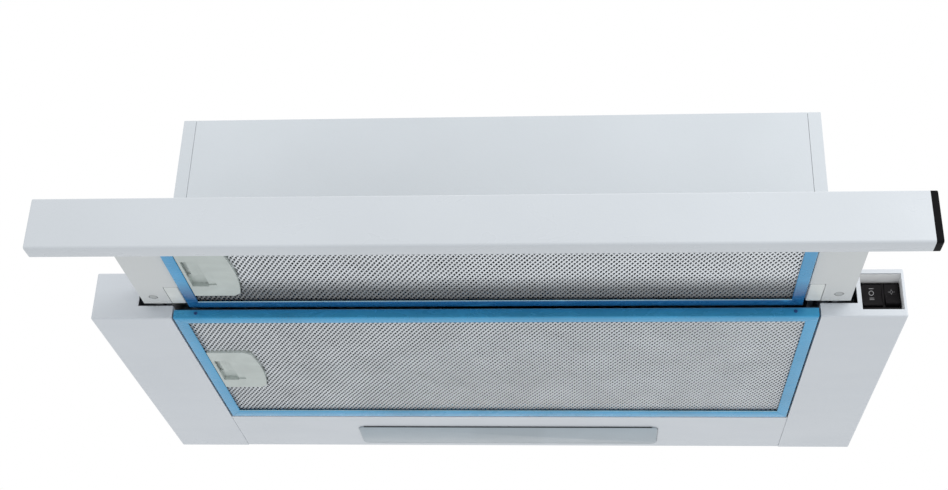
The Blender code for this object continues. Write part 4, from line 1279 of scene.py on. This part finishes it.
@dataclass
class GreaseFilter:
    """A grease filter: mitred channel frame, two open mesh sheets, a foil and its handle."""

    rack: FinishRack
    body: str
    film: bpy.types.Material
    mesh_metal: bpy.types.Material
    bar: float = 9.0 * MM
    rear_bar: float = 9.0 * MM
    wall: float = 0.8 * MM
    corner: float = 1.0 * MM
    hem: float = 0.8 * MM
    mitre_gap: float = 0.1 * MM
    slot_low: float = 3.5 * MM
    slot_high: float = 5.7 * MM
    slot_clear: float = 0.5 * MM
    bead_radius: float = 0.4 * MM
    bead_clear: float = 0.3 * MM
    bead_rise: float = 0.1 * MM
    tuck: float = 2.2 * MM
    front_level: float = 2.6 * MM
    inner_level: float = 4.6 * MM
    handle_clear: float = 0.6 * MM
    handle_bulge: float = 4.0 * MM
    foil_clear: float = 0.3 * MM
    foil_level: float = 6.85 * MM
    foil_lift: float = 0.15 * MM
    foil_back: float = 0.1 * MM
    crimp_length: float = 7.5 * MM
    crimp_width: float = 9.0 * MM
    rivets: bool = False
    rivet_inset: float = 16.6 * MM
    rivet_level: float = 4.4 * MM
    rivet_radius: float = 1.3 * MM

    def __post_init__(self) -> None:
        """Read the frame's and the handle's places from the CAD."""
        self.low, self.high = corners_of(f"{self.body}_frame")
        self.handle_low, self.handle_high = corners_of(f"{self.body}_handle")

    def channel(self, width: float) -> Array:
        """The bar's section: a thin channel open to the mesh, with a round hem on its lower lip.

        Args:
            width: The bar's width.

        Returns:
            Points of (inwards from the outer edge, up from the base).
        """
        height = self.high[2] - self.low[2]
        r, t, b = self.corner, self.wall, self.hem
        parts = [
            arc((r, r), r, 270, 180, 5),
            arc((r, height - r), r, 180, 90, 5),
            [(width, height), (width, height - t), (t, height - t), (t, t)],
            arc((width - b, b), b, 180, -90, 9),
        ]
        return np.concatenate(parts)

    def slotted(self, width: float) -> list[Array]:
        """The two halves of the section beside the latch slot: below it and above it.

        Args:
            width: The bar's width.

        Returns:
            Two closed outlines.
        """
        height = self.high[2] - self.low[2]
        r, t, b = self.corner, self.wall, self.hem
        below = [
            arc((r, r), r, 270, 180, 5),
            [(0.0, self.slot_low), (t, self.slot_low), (t, t)],
            arc((width - b, b), b, 180, -90, 9),
        ]
        above = [
            [(0.0, self.slot_high)],
            arc((r, height - r), r, 180, 90, 5),
            [(width, height), (width, height - t), (t, height - t), (t, self.slot_high)],
        ]
        return [np.concatenate(below), np.concatenate(above)]

    def bar_run(
        self, edge: Edge, section: Array, start: float | None = None, end: float | None = None
    ) -> Shell:
        """A section carried along one edge, between mitres or between two given places.

        At a mitre the run ends further in for a point further inwards, in the ratio of the two
        bars' widths, so the cut follows the line from the outer to the inner corner.

        Args:
            edge: The edge of the frame.
            section: The outline to carry.
            start: Place of a square cut instead of the first mitre.
            end: Place of a square cut instead of the last mitre.

        Returns:
            The closed run.
        """
        inwards, up = section[:, 0], section[:, 1] + self.low[2]
        gap = self.mitre_gap
        if edge in (Edge.FRONT, Edge.REAR):
            width = self.bar if edge is Edge.FRONT else self.rear_bar
            reach = inwards * self.bar / width
            y = self.low[1] + inwards if edge is Edge.FRONT else self.high[1] - inwards
            first, last = self.low[0] + reach + gap, self.high[0] - reach - gap
            rings = [np.column_stack([x, y, up]) for x in (first, last)]
        else:
            x = self.low[0] + inwards if edge is Edge.LEFT else self.high[0] - inwards
            reach = inwards * self.rear_bar / self.bar
            first = self.low[1] + inwards + gap if start is None else np.full_like(x, start)
            last = self.high[1] - reach - gap if end is None else np.full_like(x, end)
            rings = [np.column_stack([x, y, up]) for y in (first, last)]
        return carried(np.stack(rings))

    def make_frame(self) -> None:
        """The four bars, with the latch slot left out of the left one."""
        latch_low, latch_high = corners_of(f"{self.body}_latch")
        slot = (latch_low[1] - self.slot_clear, latch_high[1] + self.slot_clear)
        side = self.channel(self.bar)
        runs = [
            self.bar_run(Edge.FRONT, side),
            self.bar_run(Edge.REAR, self.channel(self.rear_bar)),
            self.bar_run(Edge.RIGHT, side),
            self.bar_run(Edge.LEFT, side, end=slot[0]),
            self.bar_run(Edge.LEFT, side, start=slot[1]),
            *(self.bar_run(Edge.LEFT, half, *slot) for half in self.slotted(self.bar)),
        ]
        name, node = f"{self.body}_bars", f"{self.body}_frame"
        make_piece(name, joined(runs), self.film, self.body, [node])

    def make_bead(self) -> None:
        """The bead where the mesh is folded over the rear bar's lower lip: a round rod along X, in
        a paler film that paints in its highlight.
        """
        y = self.high[1] - self.rear_bar - self.bead_clear
        z = self.low[2] + self.bead_radius + self.bead_rise
        ring = arc((y, z), self.bead_radius, 0, 330, 11)
        inset = self.bar - self.bead_clear
        places = np.linspace(self.low[0] + inset, self.high[0] - inset, 9)
        rings = np.stack([np.column_stack([np.full(len(ring), x), ring]) for x in places])
        film = self.rack.bead_highlight_film
        make_piece(f"{self.body}_bead", carried(rings), film, self.body)

    def handle_front(self, x: Array) -> Array:
        """Front edge of the handle's plan at given X, following the bulge of its right side.

        The bulge is an arc, so the edge leaves the straight front where the arc's half chord at
        that X is shorter than half the handle.

        Args:
            x: X places.

        Returns:
            Y of the edge.
        """
        middle = (self.handle_low[1] + self.handle_high[1]) / 2
        half = (self.handle_high[1] - self.handle_low[1]) / 2 + self.handle_clear
        radius = (half**2 + self.handle_bulge**2) / (2 * self.handle_bulge)
        centre = self.handle_high[0] + self.handle_clear - radius
        chord = np.sqrt(np.clip(radius**2 - (x - centre) ** 2, 0.0, None))
        return middle - np.minimum(chord, half)

    def sheet_shell(self, mesh: ExpandedMesh, level: float) -> Shell:
        """One sheet of mesh with a hole for the handle.

        Args:
            mesh: The mesh's pattern.
            level: Height of the sheet's middle above the frame's base.

        Returns:
            The sheet in three parts: before, behind and beside the handle.
        """
        height = self.low[2] + level
        hidden = self.bar - self.tuck
        left, right = self.low[0] + hidden, self.high[0] - hidden
        front, rear = self.low[1] + hidden, self.high[1] - self.rear_bar + self.tuck
        grid, handle_end = mesh.short_pitch, self.handle_high[0] + self.handle_clear
        split = left + math.ceil((handle_end - left) / grid) * grid
        both = self.handle_low[1] + self.handle_high[1]

        def at_front(x: Array) -> Array:
            """The sheet's front edge."""
            return np.full_like(x, front)

        def at_rear(x: Array) -> Array:
            """The sheet's rear edge."""
            return np.full_like(x, rear)

        def handle_rear(x: Array) -> Array:
            """The rear edge of the handle's hole, which mirrors the front one."""
            return both - self.handle_front(x)

        before = mesh.shell((left, split), at_front, self.handle_front, height)
        behind = mesh.shell((left, split), handle_rear, at_rear, height)
        beside = mesh.shell((split, right), at_front, at_rear, height)
        return joined([before, behind, beside])

    def make_mesh(self) -> None:
        """The front sheet, the coarser one behind it that leans the other way, and the foil; the
        last two are painted dark as shade in the holes.
        """
        slot, node = "bare_aluminium", f"{self.body}_mesh"
        front = self.sheet_shell(ExpandedMesh(), self.front_level)
        make_piece(f"{self.body}_front_sheet", front, self.mesh_metal, self.body, [node])
        coarse = ExpandedMesh(
            short_pitch=4.4 * MM, long_pitch=8.0 * MM, ribbon=1.2 * MM, lean=30.0, phase=3.1 * MM
        )
        inner = self.sheet_shell(coarse, self.inner_level)
        make_piece(f"{self.body}_inner_sheet", inner, self.rack.shaded_inner_mesh, self.body)
        make_piece(f"{self.body}_backing", self.foil(), self.rack.shade_foil, self.body)

    def foil(self) -> Shell:
        """The crimped foil at the back, painted near black as shade: a grid lifted by crossed sine
        waves, with a flat back.

        Returns:
            The foil.
        """
        inset = self.bar + self.foil_clear
        x = np.linspace(self.low[0] + inset, self.high[0] - inset, 181)
        y = np.linspace(self.low[1] + inset, self.high[1] - self.rear_bar - self.foil_clear, 61)
        x_grid, y_grid = np.meshgrid(x, y, indexing="ij")
        along = np.sin(2 * np.pi * x_grid / self.crimp_length)
        wave = along * np.sin(2 * np.pi * y_grid / self.crimp_width)
        lower = self.low[2] + self.foil_level - self.foil_lift * wave
        upper = np.full_like(lower, self.high[2] - self.foil_back)
        rows, columns = x_grid.shape
        sides = [np.stack([x_grid, y_grid, z], axis=-1) for z in (lower, upper)]
        number = np.arange(rows * columns).reshape(rows, columns)
        rim = [number[:-1, 0], number[-1, :-1], number[:0:-1, -1], number[0, :0:-1]]
        edge = np.concatenate(rim)
        after = np.roll(edge, -1)
        face = grid_quads(rows, columns)
        walls = np.column_stack([edge, after, after + rows * columns, edge + rows * columns])
        quads = np.concatenate([face[:, ::-1], face + rows * columns, walls])
        return Shell(np.stack(sides).reshape(-1, 3), quads)

    def make_rivets(self) -> None:
        """Two flat pins, dished at the middle, near the ends of the frame's front face."""
        radius = self.rivet_radius
        steps = ((-0.3, 1.0), (0.25, 1.0), (0.45, 0.75), (0.3, 0.3))
        profile = [(height * MM, share * radius) for height, share in steps]
        y, z = self.low[1], self.low[2] + self.rivet_level
        places = (self.low[0] + self.rivet_inset, self.high[0] - self.rivet_inset)
        pins = [turned(profile, (x, y, z), (0.0, -1.0, 0.0), 20) for x in places]
        film = self.rack.rivet_film
        make_piece(f"{self.body}_rivets", joined(pins), film, self.body)

    def build(self) -> None:
        """Make the filter's pieces and dress its other CAD nodes."""
        self.make_frame()
        self.make_bead()
        self.make_mesh()
        if self.rivets:
            self.make_rivets()
        handle, latch = f"{self.body}_handle", f"{self.body}_latch"
        dress_nodes(self.rack.handle_plastic, handle, latch)
        dress_nodes(self.rack.zinc, f"{self.body}_lug_front", f"{self.body}_lug_rear")


# Studio


@dataclass(frozen=True)
class Softbox:
    """A rectangular soft light that faces the hood, with its size in metres and power in watts."""

    name: str
    place: tuple[float, float, float]
    size: tuple[float, float]
    power: float

    def build(self) -> None:
        """Hang the light and turn it towards the hood."""
        light = bpy.data.lights.new(self.name, "AREA")
        light.shape = "RECTANGLE"
        light.size, light.size_y = self.size
        light.energy = self.power
        lamp = bpy.data.objects.new(self.name, light)
        bpy.context.scene.collection.objects.link(lamp)
        lamp.location = self.place
        aim = -lamp.location
        lamp.rotation_euler = aim.to_track_quat("-Z", "Y").to_euler()


@dataclass
class Studio:
    """The pale floor, the soft lights and the camera."""

    softboxes: tuple[Softbox, ...] = (
        Softbox("front_softbox", (1.15, -1.35, 0.35), (1.4, 1.0), 10.0),
        Softbox("top_softbox", (0.6, -0.8, 2.6), (2.2, 2.2), 6.0),
    )
    floor_level: float = -2.7
    floor_half: float = 9.0
    floor_colour: Colour = (0.86, 0.87, 0.88)
    camera_place: tuple[float, float, float] = (0.0697, -1.239, -0.4765)
    camera_turn: tuple[float, float, float] = (117.2756, -1.6668, 4.1069)
    lens: float = 55.32
    sensor_width: float = 36.0
    sky: float = 1.0

    def make_floor(self) -> None:
        """A wide floor, far enough below for a camera under the hood."""
        half = self.floor_half
        plan = ((-half, -half), (half, -half), (half, half), (-half, half))
        mesh = bpy.data.meshes.new("studio_floor")
        mesh.from_pydata([(*corner, self.floor_level) for corner in plan], [], [(0, 1, 2, 3)])
        mesh.materials.append(StudioSweep("studio_paper", self.floor_colour).material())
        floor = bpy.data.objects.new("studio_floor", mesh)
        bpy.context.scene.collection.objects.link(floor)

    def make_world(self) -> None:
        """An even pale surround."""
        world = bpy.data.worlds.new("studio_surround")
        world.use_nodes = True
        background = world.node_tree.nodes["Background"]
        background.inputs["Color"].default_value = (1.0, 1.0, 1.0, 1.0)
        background.inputs["Strength"].default_value = self.sky
        bpy.context.scene.world = world

    def make_camera(self) -> None:
        """The camera, low in front of the hood and looking up at it."""
        data = bpy.data.cameras.new("hood_camera")
        data.lens = self.lens
        data.sensor_width = self.sensor_width
        camera = bpy.data.objects.new("hood_camera", data)
        bpy.context.scene.collection.objects.link(camera)
        camera.location = self.camera_place
        camera.rotation_euler = Euler([math.radians(angle) for angle in self.camera_turn])
        bpy.context.scene.camera = camera

    def build(self) -> None:
        """Set up the studio."""
        bpy.context.scene.view_settings.view_transform = "Standard"
        self.make_floor()
        self.make_world()
        self.make_camera()
        for softbox in self.softboxes:
            softbox.build()
        LOG.info("studio ready")


# The whole hood


def main() -> None:
    """Build every sub-assembly over the CAD frame, then the studio."""
    logging.basicConfig(level=logging.INFO, format="%(name)s %(message)s")
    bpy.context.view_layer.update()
    Studio().build()
    rack = FinishRack()
    casing = Casing(rack)
    casing.dress()
    casing.make_screws()
    lamp = Lamp(rack)
    lamp.make_lens()
    lamp.make_diodes()
    switches = Switches(rack)
    switches.dress()
    switches.make_symbols()
    Tray(rack).build()
    GreaseFilter(
        rack, "fixed_filter", rack.film, rack.front_mesh, rear_bar=12.5 * MM, rivets=True
    ).build()
    GreaseFilter(rack, "sliding_filter", rack.tray_film, rack.tray_mesh).build()


if __name__ == "__main__":
    main()
